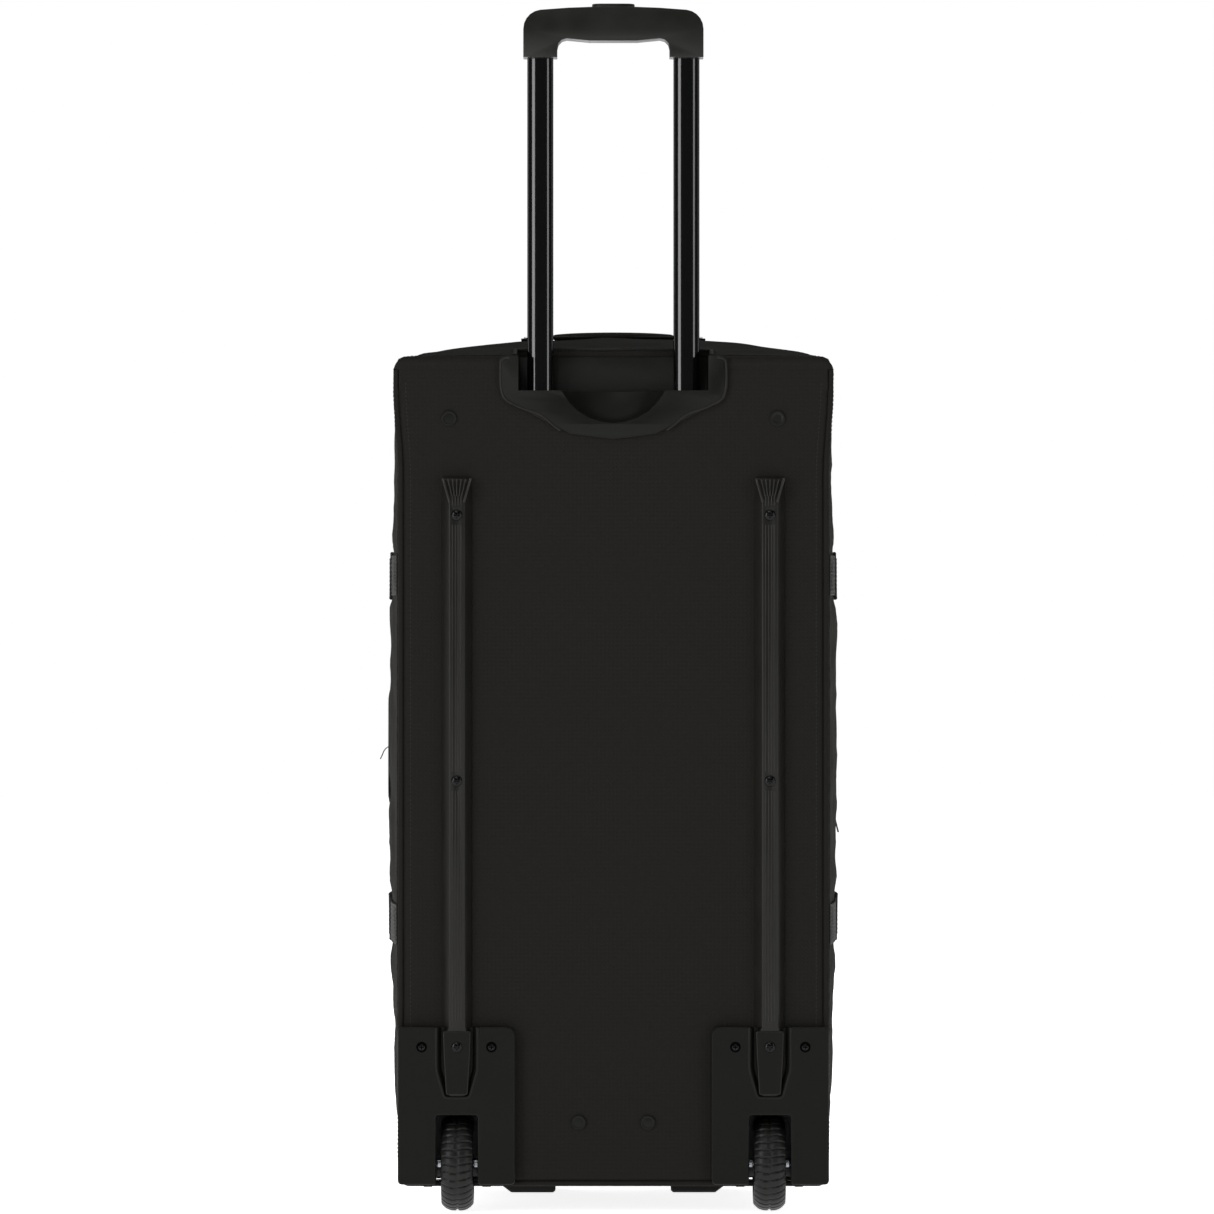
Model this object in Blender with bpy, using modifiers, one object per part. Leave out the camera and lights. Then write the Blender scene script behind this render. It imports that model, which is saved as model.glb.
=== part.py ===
"""Rolling duffel bag: soft body on a trolley frame with two wheels and a sliding handle.

Metres, +Z up. The trolley and wheel side faces -Y, left is -X. The origin is on the floor,
under the middle of the bag. The handle is drawn out and the lid is closed.
"""

import math

import bmesh
import bpy
from mathutils import Matrix, Vector

# ---------------------------------------------------------------- driving dimensions (metres)

GAP = 0.0003                 # between pieces that touch

# Body
BODY_WIDTH = 0.404           # across the back panel
BODY_DEPTH = 0.330           # back panel to front face
BODY_TOP = 0.803             # top edge of the back panel
BODY_BOTTOM = 0.0247         # underside of the bag body
LID_DEPTH = 0.045            # from the seam to the front face
BACK_CORNER = 0.018          # corner radius of the back panel
ZIP_CORNER = 0.062           # corner radius at the seam
SIDE_FLARE = 0.006           # how much wider each side is at the seam than at the back
SIDE_BULGE = 0.009           # how far a side bulges half way along
TOP_CROWN = 0.017            # how far the top bulges half way along
SEAM_CROWN = 0.010           # how far the top is crowned at the seam
FABRIC = 0.004               # padded fabric wall
SEAM_GAP = 0.001             # between the body and the lid, under the zip

# Back panel and what lies behind it
PIPING_RADIUS = 0.0025
PANEL_THICKNESS = 0.004
STIFFENER_THICKNESS = 0.0015
STIFFENER_MARGIN = 0.0047    # inside the back panel's edge
LINING_THICKNESS = 0.002
LINING_CLEARANCE = 0.0025    # behind the cup
BOARD_THICKNESS = 0.003
BOARD_SETBACK = 0.008        # behind the seam

# Trolley
TUBE_SPACING = 0.1374
INNER_WIDTH = 0.0245
INNER_DEPTH = 0.016
TUBE_WALL = 0.0012
SLIDE_CLEARANCE = 0.00055    # between an inner and an outer tube
TUBE_OVERLAP = 0.120         # inner tube left inside the outer tube when drawn out
OUTER_BOTTOM = 0.074
TRAVEL = 0.313
BRACKET_HEIGHT = 0.024
BRACKET_PLATE = 0.0037
BRACKET_WALL = 0.0027        # around a tube
BRACKET_CLEARANCE = 0.0005   # between a bracket's plate and a tube
PLUG_HEIGHT = 0.036

# Grip
GRIP_DEPTH = 0.030
GRIP_HEIGHT = 0.0473         # from the leg ends to the top at the middle
GRIP_CORNER = 0.018
GRIP_LEG = 0.0318
GRIP_BAR = 0.0325            # bar height at the middle
GRIP_BAR_END = 0.027         # bar height next to the legs
SOCKET_DEPTH = 0.014
BUTTON_WIDTH = 0.040
BUTTON_DEPTH = 0.017
BUTTON_STAND = 0.0035        # how far the button stands above the grip
BUTTON_DROP = 0.0145         # from the grip's top down to the release bar
BUTTON_TRAVEL = 0.003
RELEASE_BAR_HEIGHT = 0.005
ROD_RADIUS = 0.0025
PIN_RADIUS = 0.003
PIN_LENGTH = 0.009
PIN_LIFT = 0.020             # above the inner tube's lower end
PIN_TRAVEL = 0.0024
SPRING_RADIUS = 0.0035
SPRING_WIRE = 0.0004
SPRING_TURNS = 5

# Handle cup
CUP_STAND = 0.0005           # above the body's top edge
CUP_RIM = 0.0183             # flange beside the recess
CUP_SHOULDER = 0.028         # height of the cup's straight sides
CUP_DROP = 0.0781            # from the cup's top to its lowest point
CUP_FLANGE = 0.0033
CUP_WALL = 0.003
RECESS_SIDE = 0.00805        # between a tube and the recess's side
GRIP_CLEARANCE = 0.0027      # between the lowered grip and the recess's back
LEDGE_DEPTH = 0.0325         # from the cup's top down to the ledge that the grip rests on
SCOOP_CLEARANCE = 0.0005     # between the scoop's box and a bracket
SCOOP_DROP = 0.0307          # from the ledge to the bottom of the finger scoop

# Wheels and housings
WHEEL_INSET = 0.0554         # from the body's side to the middle of a wheel
WHEEL_STAND = 0.0087         # how far a wheel stands out of its housing
WHEEL_RADIUS = 0.045
WHEEL_WIDTH = 0.030
TYRE_THICKNESS = 0.012
AXLE_RADIUS = 0.003
WELL_SIDE = 0.00575          # between a wheel and its well
WELL_WALL = 0.003
WELL_CLEARANCE = 0.003       # above the wheel
WELL_FRONT = 0.005           # in front of the wheel
WELL_MARGIN = 0.002          # between a well and what is cut away for it
HOUSING_WIDTH = 0.110
HOUSING_BOTTOM = 0.027
HOUSING_THICKNESS = 0.009

# Skid rails
RAIL_DROP = 0.1137           # from the body's top edge down to the rail's top
RAIL_BASE = 0.0295
RAIL_CREST = 0.0145
RAIL_HEIGHT = 0.011
RAIL_FLARE = 0.024           # length of the flared top end
TONGUE_LIFT = 0.014          # above the wheel well
TONGUE_LENGTH = 0.065
TONGUE_WIDTH = 0.0185
TONGUE_HEIGHT = 0.009
TONGUE_SCREW = 0.046         # from the tongue's lower end to its screw
TOP_SCREW = 0.0353           # from the rail's top to its upper screw

# Fasteners
SCREW_HEAD = 0.0051
SCREW_SHANK = 0.002
RIVET_SHANK = 0.0024
HOLE_CLEARANCE = 0.0004
UPPER_RIVET_HEAD = 0.0073
UPPER_RIVET_INSET = 0.048    # from the body's side
UPPER_RIVET_DROP = 0.058     # from the body's top edge
LOWER_RIVET_HEAD = 0.0069
LOWER_RIVET_SPACING = 0.0648
LOWER_RIVET_LIFT = 0.0108    # above the outer tubes' lower ends

# Feet, handles and straps
FOOT_INSET = 0.089           # from the body's side
FOOT_WIDTH = 0.057
FOOT_LENGTH = 0.056
FOOT_SETBACK = 0.004         # behind the seam
TOP_HANDLE_LENGTH = 0.176
SIDE_HANDLE_LENGTH = 0.150
SIDE_HANDLE_SETBACK = 0.035  # behind the seam
SIDE_HANDLE_DROP = 0.002     # below the middle of the two straps
HANDLE_WIDTH = 0.030
HANDLE_THICKNESS = 0.004
TOP_HANDLE_RISE = 0.0075
SIDE_HANDLE_RISE = 0.0055
STRAP_WIDTH = 0.038
STRAP_THICKNESS = 0.0032
STRAP_SETBACK = 0.016        # behind the seam
UPPER_STRAP_DROP = 0.205     # from the body's top edge
LOWER_STRAP_LIFT = 0.2453    # above the body's underside

# Zips
ZIP_THICKNESS = 0.002        # tape and teeth under a slider
SLIDER_WIDTH = 0.010
SLIDER_LENGTH = 0.014
SLIDER_PLATE = 0.002
SLIDER_PITCH = 0.020         # between the two main sliders
SLIDER_LIFT = 0.3473         # upper slider above the body's underside
BRIDGE_WIDTH = 0.004
BRIDGE_LENGTH = 0.008
BRIDGE_HEIGHT = 0.0044
BRIDGE_EYE = 0.0015
PULL_WIDTH = 0.008
PULL_LENGTH = 0.026
PULL_THICKNESS = 0.0016
UPPER_PULL_ANGLE = math.radians(14.0)    # leans on the slider below

# Lid pocket
POCKET_SIDE = 0.052          # from the body's side
POCKET_LIFT = 0.0853         # above the body's underside
POCKET_DROP = 0.163          # from the body's top edge
POCKET_THICKNESS = 0.010
POCKET_CORNER = 0.030
POCKET_ZIP_DROP = 0.045      # from the pocket's top down to its zip
POCKET_SLIDER_SIDE = 0.032   # from the pocket's side

# ---------------------------------------------------------------- derived values

HALF_WIDTH = BODY_WIDTH / 2
BACK_Y = -BODY_DEPTH / 2
FRONT_Y = BODY_DEPTH / 2
ZIP_Y = FRONT_Y - LID_DEPTH
SEAM_HALF_WIDTH = HALF_WIDTH + SIDE_FLARE

TUBE_X = TUBE_SPACING / 2
OUTER_WIDTH = INNER_WIDTH + 2 * (TUBE_WALL + SLIDE_CLEARANCE)
OUTER_DEPTH = INNER_DEPTH + 2 * (TUBE_WALL + SLIDE_CLEARANCE)
STIFFENER_Y = BACK_Y + PANEL_THICKNESS + GAP
BRACKET_Y = STIFFENER_Y + STIFFENER_THICKNESS + GAP
TUBE_Y = BRACKET_Y + BRACKET_PLATE + BRACKET_CLEARANCE + OUTER_DEPTH / 2
BRACKET_END_Y = TUBE_Y + OUTER_DEPTH / 2 + BRACKET_WALL

CUP_TOP = BODY_TOP + CUP_STAND
RECESS_WIDTH = TUBE_SPACING + INNER_WIDTH + 2 * RECESS_SIDE
CUP_WIDTH = RECESS_WIDTH + 2 * CUP_RIM
LEDGE_Z = CUP_TOP - LEDGE_DEPTH
CUP_FACE_Y = BACK_Y - GAP - CUP_FLANGE
CUP_BACK_Y = TUBE_Y + GRIP_DEPTH / 2 + GRIP_CLEARANCE
RECESS_DEPTH = CUP_BACK_Y - CUP_FACE_Y
SCOOP_HALF_WIDTH = TUBE_X - OUTER_WIDTH / 2 - BRACKET_WALL - SCOOP_CLEARANCE - CUP_WALL
LINING_Y = CUP_BACK_Y + CUP_WALL + LINING_CLEARANCE

GRIP_WIDTH = TUBE_SPACING + GRIP_LEG
GRIP_BOTTOM = LEDGE_Z + TRAVEL
GRIP_TOP = GRIP_BOTTOM + GRIP_HEIGHT
INNER_BOTTOM = LEDGE_Z - TUBE_OVERLAP
PIN_Z = INNER_BOTTOM + PIN_LIFT
RELEASE_TOP = GRIP_TOP - BUTTON_DROP
RELEASE_LOW = RELEASE_TOP - RELEASE_BAR_HEIGHT

HOUSING_FACE_Y = BACK_Y - GAP - HOUSING_THICKNESS
WHEEL_X = HALF_WIDTH - WHEEL_INSET
WHEEL_Y = HOUSING_FACE_Y - WHEEL_STAND + WHEEL_RADIUS
WELL_WIDTH = WHEEL_WIDTH + 2 * WELL_SIDE
WELL_OUTER = WELL_WIDTH + 2 * WELL_WALL
WELL_TOP = 2 * WHEEL_RADIUS + WELL_CLEARANCE
WELL_END_Y = WHEEL_Y + WHEEL_RADIUS + WELL_FRONT
WELL_CUT = WELL_OUTER + 2 * WELL_MARGIN
AXLE_LENGTH = WELL_OUTER + WELL_MARGIN

RAIL_X = WHEEL_X
RAIL_TOP = BODY_TOP - RAIL_DROP
TONGUE_BOTTOM = WELL_TOP + WELL_WALL + TONGUE_LIFT
HOUSING_TOP = TONGUE_BOTTOM + TONGUE_LENGTH
LOW_SCREW_Z = TONGUE_BOTTOM + TONGUE_SCREW
HIGH_SCREW_Z = RAIL_TOP - TOP_SCREW
RAIL_SCREW_HEIGHTS = (LOW_SCREW_Z, (LOW_SCREW_Z + HIGH_SCREW_Z) / 2, HIGH_SCREW_Z)

UPPER_RIVET = (HALF_WIDTH - UPPER_RIVET_INSET, BODY_TOP - UPPER_RIVET_DROP)
LOWER_RIVET = (LOWER_RIVET_SPACING / 2, OUTER_BOTTOM + LOWER_RIVET_LIFT)
RIVETS = {"upper": (UPPER_RIVET, UPPER_RIVET_HEAD), "lower": (LOWER_RIVET, LOWER_RIVET_HEAD)}

STRAP_HEIGHTS = {"upper": BODY_TOP - UPPER_STRAP_DROP, "lower": BODY_BOTTOM + LOWER_STRAP_LIFT}
SIDE_HANDLE_Z = sum(STRAP_HEIGHTS.values()) / 2 - SIDE_HANDLE_DROP
SIDE_HANDLE_Y = ZIP_Y - SIDE_HANDLE_SETBACK
TOP_HANDLE_Y = (BACK_Y + ZIP_Y) / 2

UPPER_SLIDER_Z = BODY_BOTTOM + SLIDER_LIFT
LOWER_SLIDER_Z = UPPER_SLIDER_Z - SLIDER_PITCH
POCKET_HALF = HALF_WIDTH - POCKET_SIDE
POCKET_BOTTOM = BODY_BOTTOM + POCKET_LIFT
POCKET_TOP = BODY_TOP - POCKET_DROP

SIDES = ((-1, "left"), (1, "right"))

BLACK_FABRIC = ((0.016, 0.016, 0.015), 0.85, 0.0)
WEBBING = ((0.012, 0.012, 0.012), 0.8, 0.0)
LINING_CLOTH = ((0.10, 0.10, 0.10), 0.8, 0.0)
MOULDED = ((0.023, 0.023, 0.022), 0.5, 0.0)
GLOSS_BLACK = ((0.010, 0.010, 0.010), 0.2, 0.0)
BOARD = ((0.03, 0.03, 0.03), 0.6, 0.0)
RUBBER = ((0.018, 0.018, 0.018), 0.75, 0.0)
STEEL = ((0.55, 0.55, 0.55), 0.3, 1.0)
DARK_STEEL = ((0.03, 0.03, 0.03), 0.3, 1.0)


# ---------------------------------------------------------------- scene helpers

def clear_scene():
    """Remove every object so that the script can be run again."""
    for obj in list(bpy.data.objects):
        bpy.data.objects.remove(obj, do_unlink=True)


def new_collection(name):
    """Return a new collection linked to the scene."""
    collection = bpy.data.collections.new(name)
    bpy.context.scene.collection.children.link(collection)
    return collection


def paint(obj, finish):
    """Give an object its own Principled material."""
    colour, roughness, metallic = finish
    material = bpy.data.materials.new(obj.name)
    material.use_nodes = True
    shader = material.node_tree.nodes["Principled BSDF"]
    shader.inputs["Base Color"].default_value = (*colour, 1.0)
    shader.inputs["Roughness"].default_value = roughness
    shader.inputs["Metallic"].default_value = metallic
    obj.data.materials.clear()
    obj.data.materials.append(material)


def add_mesh(name, mesh, collection, location=(0, 0, 0), rotation=(0, 0, 0)):
    """Link a mesh as a new object."""
    obj = bpy.data.objects.new(name, mesh)
    collection.objects.link(obj)
    obj.location = location
    obj.rotation_euler = rotation
    return obj


def add_box(name, low, high, collection):
    """Add a box between two corners, with its origin at its centre."""
    low = Vector(low)
    high = Vector(high)
    shape = bmesh.new()
    bmesh.ops.create_cube(shape, size=1.0)
    bmesh.ops.scale(shape, vec=high - low, verts=shape.verts)
    mesh = bpy.data.meshes.new(name)
    shape.to_mesh(mesh)
    shape.free()
    return add_mesh(name, mesh, collection, (low + high) / 2)


def add_cylinder(name, radius, length, centre, axis, collection, segments=16):
    """Add a cylinder along the axis "X", "Y" or "Z"."""
    turns = {"X": (0, math.pi / 2, 0), "Y": (math.pi / 2, 0, 0), "Z": (0, 0, 0)}
    shape = bmesh.new()
    bmesh.ops.create_cone(shape, cap_ends=True, segments=segments, radius1=radius,
                          radius2=radius, depth=length)
    mesh = bpy.data.meshes.new(name)
    shape.to_mesh(mesh)
    shape.free()
    smooth(mesh)
    return add_mesh(name, mesh, collection, centre, turns[axis])


def smooth(mesh, degrees=35):
    """Shade a mesh smooth but keep its edges."""
    mesh.shade_smooth()
    mesh.set_sharp_from_angle(angle=math.radians(degrees))


def add_plate(name, outline, thickness, centre, collection, facing="Y"):
    """Add a flat plate: outline in the XZ plane (facing Y) or the XY plane (facing Z)."""
    curve = bpy.data.curves.new(name, "CURVE")
    curve.dimensions = "2D"
    curve.fill_mode = "BOTH"
    curve.extrude = thickness / 2
    spline = curve.splines.new("POLY")
    spline.points.add(len(outline) - 1)
    for point, (u, v) in zip(spline.points, outline):
        point.co = (u, v, 0, 1)
    spline.use_cyclic_u = True
    turned = (math.pi / 2, 0, 0) if facing == "Y" else (0, 0, 0)
    return solid_from_curve(name, curve, centre, turned, collection)


def solid_from_curve(name, curve, location, rotation, collection):
    """Turn a curve into a mesh object with its caps welded on."""
    source = bpy.data.objects.new(name, curve)
    bpy.context.scene.collection.objects.link(source)
    source.location = location
    source.rotation_euler = rotation
    graph = bpy.context.evaluated_depsgraph_get()
    graph.update()
    mesh = bpy.data.meshes.new_from_object(source.evaluated_get(graph))
    shape = bmesh.new()
    shape.from_mesh(mesh)
    bmesh.ops.remove_doubles(shape, verts=shape.verts, dist=0.00001)
    bmesh.ops.recalc_face_normals(shape, faces=shape.faces)
    shape.to_mesh(mesh)
    shape.free()
    mesh.name = name
    bpy.data.objects.remove(source, do_unlink=True)
    return add_mesh(name, mesh, collection, location, rotation)


def add_wire(name, points, radius, collection, resolution=2, location=(0, 0, 0)):
    """Add a round wire through points, with closed ends."""
    curve = bpy.data.curves.new(name, "CURVE")
    curve.dimensions = "3D"
    curve.bevel_depth = radius
    curve.bevel_resolution = resolution
    curve.use_fill_caps = True
    spline = curve.splines.new("POLY")
    spline.points.add(len(points) - 1)
    for point, place in zip(spline.points, points):
        point.co = (*place, 1)
    return solid_from_curve(name, curve, location, (0, 0, 0), collection)


def add_turned(name, profile, centre, rotation, collection, steps=24):
    """Add a turned piece. The closed profile is (radius, height), top to bottom outside."""
    shape = bmesh.new()
    ring = [shape.verts.new((radius, 0, height)) for radius, height in profile]
    for first, second in zip(ring, ring[1:] + ring[:1]):
        shape.edges.new((first, second))
    mesh = bpy.data.meshes.new(name)
    shape.to_mesh(mesh)
    shape.free()
    obj = add_mesh(name, mesh, collection, centre, rotation)
    screw = obj.modifiers.new("Turn", "SCREW")
    screw.axis = "Z"
    screw.steps = steps
    screw.render_steps = steps
    screw.use_merge_vertices = True
    screw.merge_threshold = 0.00001
    screw.use_smooth_shade = True
    return obj


def add_loft(name, rings, collection, closed_ring=True, cap_start=False, cap_end=False):
    """Join rings of points with faces, each ring having the same number of points."""
    shape = bmesh.new()
    rows = [[shape.verts.new(point) for point in ring] for ring in rings]
    count = len(rows[0])
    spans = count if closed_ring else count - 1
    for near, far in zip(rows, rows[1:]):
        for i in range(spans):
            j = (i + 1) % count
            shape.faces.new((near[i], far[i], far[j], near[j]))
    if cap_start:
        shape.faces.new(rows[0])
    if cap_end:
        shape.faces.new(list(reversed(rows[-1])))
    mesh = bpy.data.meshes.new(name)
    shape.to_mesh(mesh)
    shape.free()
    return add_mesh(name, mesh, collection)


def face_outwards(obj):
    """Make a closed mesh's faces point out."""
    shape = bmesh.new()
    shape.from_mesh(obj.data)
    bmesh.ops.recalc_face_normals(shape, faces=shape.faces)
    shape.to_mesh(obj.data)
    shape.free()


def boolean(obj, tool, operation):
    """Cut or join an object with a tool object, which is hidden."""
    step = obj.modifiers.new(tool.name, "BOOLEAN")
    step.operation = operation
    step.solver = "EXACT"
    step.object = tool
    tool.hide_render = True
    tool.display_type = "WIRE"


def cut(obj, *tools):
    """Cut tools out of an object."""
    for tool in tools:
        boolean(obj, tool, "DIFFERENCE")


def join(obj, *tools):
    """Join tools to an object."""
    for tool in tools:
        boolean(obj, tool, "UNION")


def bevel(obj, width, segments=2, degrees=40):
    """Round an object's edges."""
    step = obj.modifiers.new("Round", "BEVEL")
    step.width = width
    step.segments = segments
    step.limit_method = "ANGLE"
    step.angle_limit = math.radians(degrees)


def arc(centre_u, centre_v, radius, start, end, steps):
    """Return points along an arc, with angles in degrees."""
    points = []
    for i in range(steps + 1):
        angle = math.radians(start + (end - start) * i / steps)
        points.append((centre_u + radius * math.cos(angle), centre_v + radius * math.sin(angle)))
    return points


def rounded_rectangle(half_u, low_v, high_v, radius, steps=4):
    """Return a rounded rectangle's outline, anticlockwise."""
    u = half_u - radius
    return (arc(u, low_v + radius, radius, -90, 0, steps)
            + arc(u, high_v - radius, radius, 0, 90, steps)
            + arc(-u, high_v - radius, radius, 90, 180, steps)
            + arc(-u, low_v + radius, radius, 180, 270, steps))


def stadium(width, depth, steps=8):
    """Return an oval with straight long sides, centred on the origin."""
    half = width / 2 - depth / 2
    return arc(half, 0, depth / 2, -90, 90, steps) + arc(-half, 0, depth / 2, 90, 270, steps)


# ---------------------------------------------------------------- the body's shape

def along(y):
    """Return how far y lies from the back (0) to the seam (1)."""
    return min(max((y - BACK_Y) / (ZIP_Y - BACK_Y), 0.0), 1.0)


def half_width(y):
    """Return half of the body's width at its corners."""
    return HALF_WIDTH + SIDE_FLARE * along(y)


def corner_radius(y):
    """Return the body's corner radius at y."""
    return BACK_CORNER + (ZIP_CORNER - BACK_CORNER) * along(y)


def flat_half(y):
    """Return half the width of the body's flat bottom at y."""
    return half_width(y) - corner_radius(y)


def side_x(y, z):
    """Return the distance of a side's outer face from the middle plane."""
    height = (z - BODY_BOTTOM) / (BODY_TOP - BODY_BOTTOM)
    swell = math.sin(math.pi * min(max(height, 0.0), 1.0))
    return half_width(y) + SIDE_BULGE * math.sin(math.pi * along(y)) * swell


def crown(y):
    """Return the rise of the top at the middle plane."""
    return TOP_CROWN * math.sin(math.pi * along(y)) + SEAM_CROWN * along(y) ** 2


def top_z(x, y):
    """Return the height of the top's outer face."""
    share = min(abs(x) / half_width(y), 1.0)
    return BODY_TOP + crown(y) * (1.0 - share ** 3)


def section(y, inset=0.0):
    """Return the body's outline at y, anticlockwise seen from the back, as (x, z)."""
    half = half_width(y) - inset
    low = BODY_BOTTOM + inset
    high = BODY_TOP - inset
    radius = corner_radius(y) - inset * 0.3
    outline = []
    flat = rounded_rectangle(half, low, high, radius, steps=6)
    for first, second in zip(flat, flat[1:] + flat[:1]):
        outline.append(first)
        if math.dist(first, second) > radius:
            for i in range(1, 8):
                outline.append(tuple(Vector(first).lerp(Vector(second), i / 8)))
    return [bulged(x, z, y, inset) for x, z in outline]


def bulged(x, z, y, inset):
    """Move a point of the plain outline out to the swollen faces."""
    swell = (side_x(y, z) - half_width(y)) * abs(x) / half_width(y)
    lift = (top_z(x, y) - BODY_TOP) * max(0.0, (z - BODY_BOTTOM) / (BODY_TOP - BODY_BOTTOM)) ** 12
    fade = 1.0 - inset / LID_DEPTH
    return x + math.copysign(swell, x) * fade, z + lift * fade


def ring_at(y, inset=0.0, outline_y=None):
    """Return the body's outline at y as points in space."""
    shape_y = y if outline_y is None else outline_y
    return [(x, y, z) for x, z in section(shape_y, inset)]


# ---------------------------------------------------------------- shared cutters

def hole(name, x, z, radius, tools):
    """Return a cutter for a hole through the back, along Y."""
    return add_cylinder("cut_" + name, radius, 0.060, (x, BACK_Y, z), "Y", tools, 12)


def well_cut(name, side, tools):
    """Return a cutter that clears a wheel well and its axle ends."""
    x = side * WHEEL_X
    low = (x - WELL_CUT / 2, HOUSING_FACE_Y - 0.01, -0.01)
    high = (x + WELL_CUT / 2, WELL_END_Y + WELL_WALL + WELL_MARGIN,
            WELL_TOP + WELL_WALL + WELL_MARGIN)
    return add_box("cut_well_" + name, low, high, tools)


def cup_cuts(tools):
    """Return cutters that clear the cup's recess box and scoop box."""
    half = RECESS_WIDTH / 2 + CUP_WALL + 2 * GAP
    scoop = SCOOP_HALF_WIDTH + CUP_WALL + 2 * GAP
    back = CUP_BACK_Y + CUP_WALL + 2 * GAP
    recess = add_box("cut_recess", (-half, CUP_FACE_Y - 0.01, LEDGE_Z - CUP_WALL - 2 * GAP),
                     (half, back, BODY_TOP + 0.05), tools)
    low = LEDGE_Z - SCOOP_DROP - CUP_WALL - 2 * GAP
    bowl = add_box("cut_scoop_box", (-scoop, CUP_FACE_Y - 0.01, low),
                   (scoop, back, LEDGE_Z), tools)
    return recess, bowl


def back_holes(tools):
    """Return cutters for every screw and rivet that passes the back."""
    cutters = []
    for side, name in SIDES:
        for number, z in enumerate(RAIL_SCREW_HEIGHTS):
            cutters.append(hole(f"screw_{name}_{number}", side * RAIL_X, z,
                                SCREW_SHANK + HOLE_CLEARANCE, tools))
        for level, ((x, z), _) in RIVETS.items():
            cutters.append(hole(f"rivet_{level}_{name}", side * x, z,
                                RIVET_SHANK + HOLE_CLEARANCE, tools))
    return cutters


# ---------------------------------------------------------------- body

def build_back(parts, tools, wells, cup, holes):
    """Build the back panel, its stiffener and its piping."""
    edge = 2 * PIPING_RADIUS + GAP
    outline = rounded_rectangle(HALF_WIDTH - edge, BODY_BOTTOM + edge, BODY_TOP - edge,
                                BACK_CORNER - edge)
    panel = add_plate("back_panel", outline, PANEL_THICKNESS,
                      (0, BACK_Y + PANEL_THICKNESS / 2, 0), parts)
    cut(panel, *wells, *cup, *holes)
    paint(panel, BLACK_FABRIC)

    edge += STIFFENER_MARGIN
    outline = rounded_rectangle(HALF_WIDTH - edge, BODY_BOTTOM + edge, BODY_TOP - edge,
                                BACK_CORNER - edge / 2)
    sheet = add_plate("back_stiffener", outline, STIFFENER_THICKNESS,
                      (0, STIFFENER_Y + STIFFENER_THICKNESS / 2, 0), parts)
    cut(sheet, *wells, *cup, *holes)
    paint(sheet, BOARD)

    for side, name in SIDES:
        build_piping(name, side, parts)


def build_piping(name, side, parts):
    """Build one side's piping, from the cup round to the wheel well."""
    half = HALF_WIDTH - PIPING_RADIUS
    low = BODY_BOTTOM + PIPING_RADIUS
    high = BODY_TOP - PIPING_RADIUS
    radius = BACK_CORNER - PIPING_RADIUS
    start = RECESS_WIDTH / 2 + CUP_WALL + 3 * GAP
    end = WHEEL_X + WELL_CUT / 2 + GAP
    route = [(start, high)]
    route += arc(half - radius, high - radius, radius, 90, 0, 6)
    route += arc(half - radius, low + radius, radius, 0, -90, 6)
    route.append((end, low))
    points = [(side * x, BACK_Y + PIPING_RADIUS, z) for x, z in route]
    paint(add_wire("back_piping_" + name, points, PIPING_RADIUS, parts), WEBBING)


def build_gusset(parts, wells, cup):
    """Build the sides, top and bottom of the body as one fabric wall."""
    first = BACK_Y + 2 * PIPING_RADIUS + GAP
    last = ZIP_Y - SEAM_GAP / 2
    stations = [first + (last - first) * i / 8 for i in range(9)]
    gusset = add_loft("body_gusset", [ring_at(y) for y in stations], parts)
    smooth(gusset.data)
    wall = gusset.modifiers.new("Wall", "SOLIDIFY")
    wall.thickness = FABRIC
    wall.offset = -1.0
    cut(gusset, *wells, *cup)
    paint(gusset, BLACK_FABRIC)


def build_inner_walls(parts, tools, wells):
    """Build the lining panel over the tubes and the base board."""
    margin = FABRIC + 0.002
    half = half_width(LINING_Y) - margin
    outline = rounded_rectangle(half, BODY_BOTTOM + margin, BODY_TOP - margin, BACK_CORNER)
    lining = add_plate("lining_panel", outline, LINING_THICKNESS,
                       (0, LINING_Y + LINING_THICKNESS / 2, 0), parts)
    cut(lining, *wells)
    paint(lining, LINING_CLOTH)

    back = LINING_Y + LINING_THICKNESS + GAP
    step = WELL_END_Y + WELL_WALL + WELL_MARGIN
    front = ZIP_Y - BOARD_SETBACK
    neck = WHEEL_X - WELL_CUT / 2
    right = [(neck, back), (neck, step), (flat_half(step), step), (flat_half(front), front)]
    outline = right + [(-x, y) for x, y in reversed(right)]
    low = BODY_BOTTOM + FABRIC + GAP
    board = add_plate("base_board", outline, BOARD_THICKNESS,
                      (0, 0, low + BOARD_THICKNESS / 2), parts, facing="Z")
    paint(board, BOARD)


# ---------------------------------------------------------------- lid

def build_lid(parts, tools):
    """Build the lid as a shallow tray, and its pocket."""
    steps = ((0.0, 0.0), (0.45, 0.001), (0.75, 0.004), (0.92, 0.011), (1.0, 0.024))
    start = ZIP_Y + SEAM_GAP / 2
    rings = []
    for share, inset in steps:
        y = start + (FRONT_Y - start) * share
        rings.append(ring_at(y, inset, outline_y=ZIP_Y))
    lid = add_loft("lid_panel", rings, parts, cap_end=True)
    smooth(lid.data)
    lid.data.transform(Matrix.Translation((SEAM_HALF_WIDTH, -ZIP_Y, 0)))
    lid.location = (-SEAM_HALF_WIDTH, ZIP_Y, 0)
    wall = lid.modifiers.new("Wall", "SOLIDIFY")
    wall.thickness = FABRIC
    wall.offset = -1.0
    paint(lid, BLACK_FABRIC)

    outline = rounded_rectangle(POCKET_HALF, POCKET_BOTTOM, POCKET_TOP, POCKET_CORNER)
    pocket = add_plate("lid_pocket", outline, POCKET_THICKNESS,
                       (0, FRONT_Y + GAP + POCKET_THICKNESS / 2, 0), parts)
    bevel(pocket, 0.004)
    paint(pocket, BLACK_FABRIC)


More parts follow.
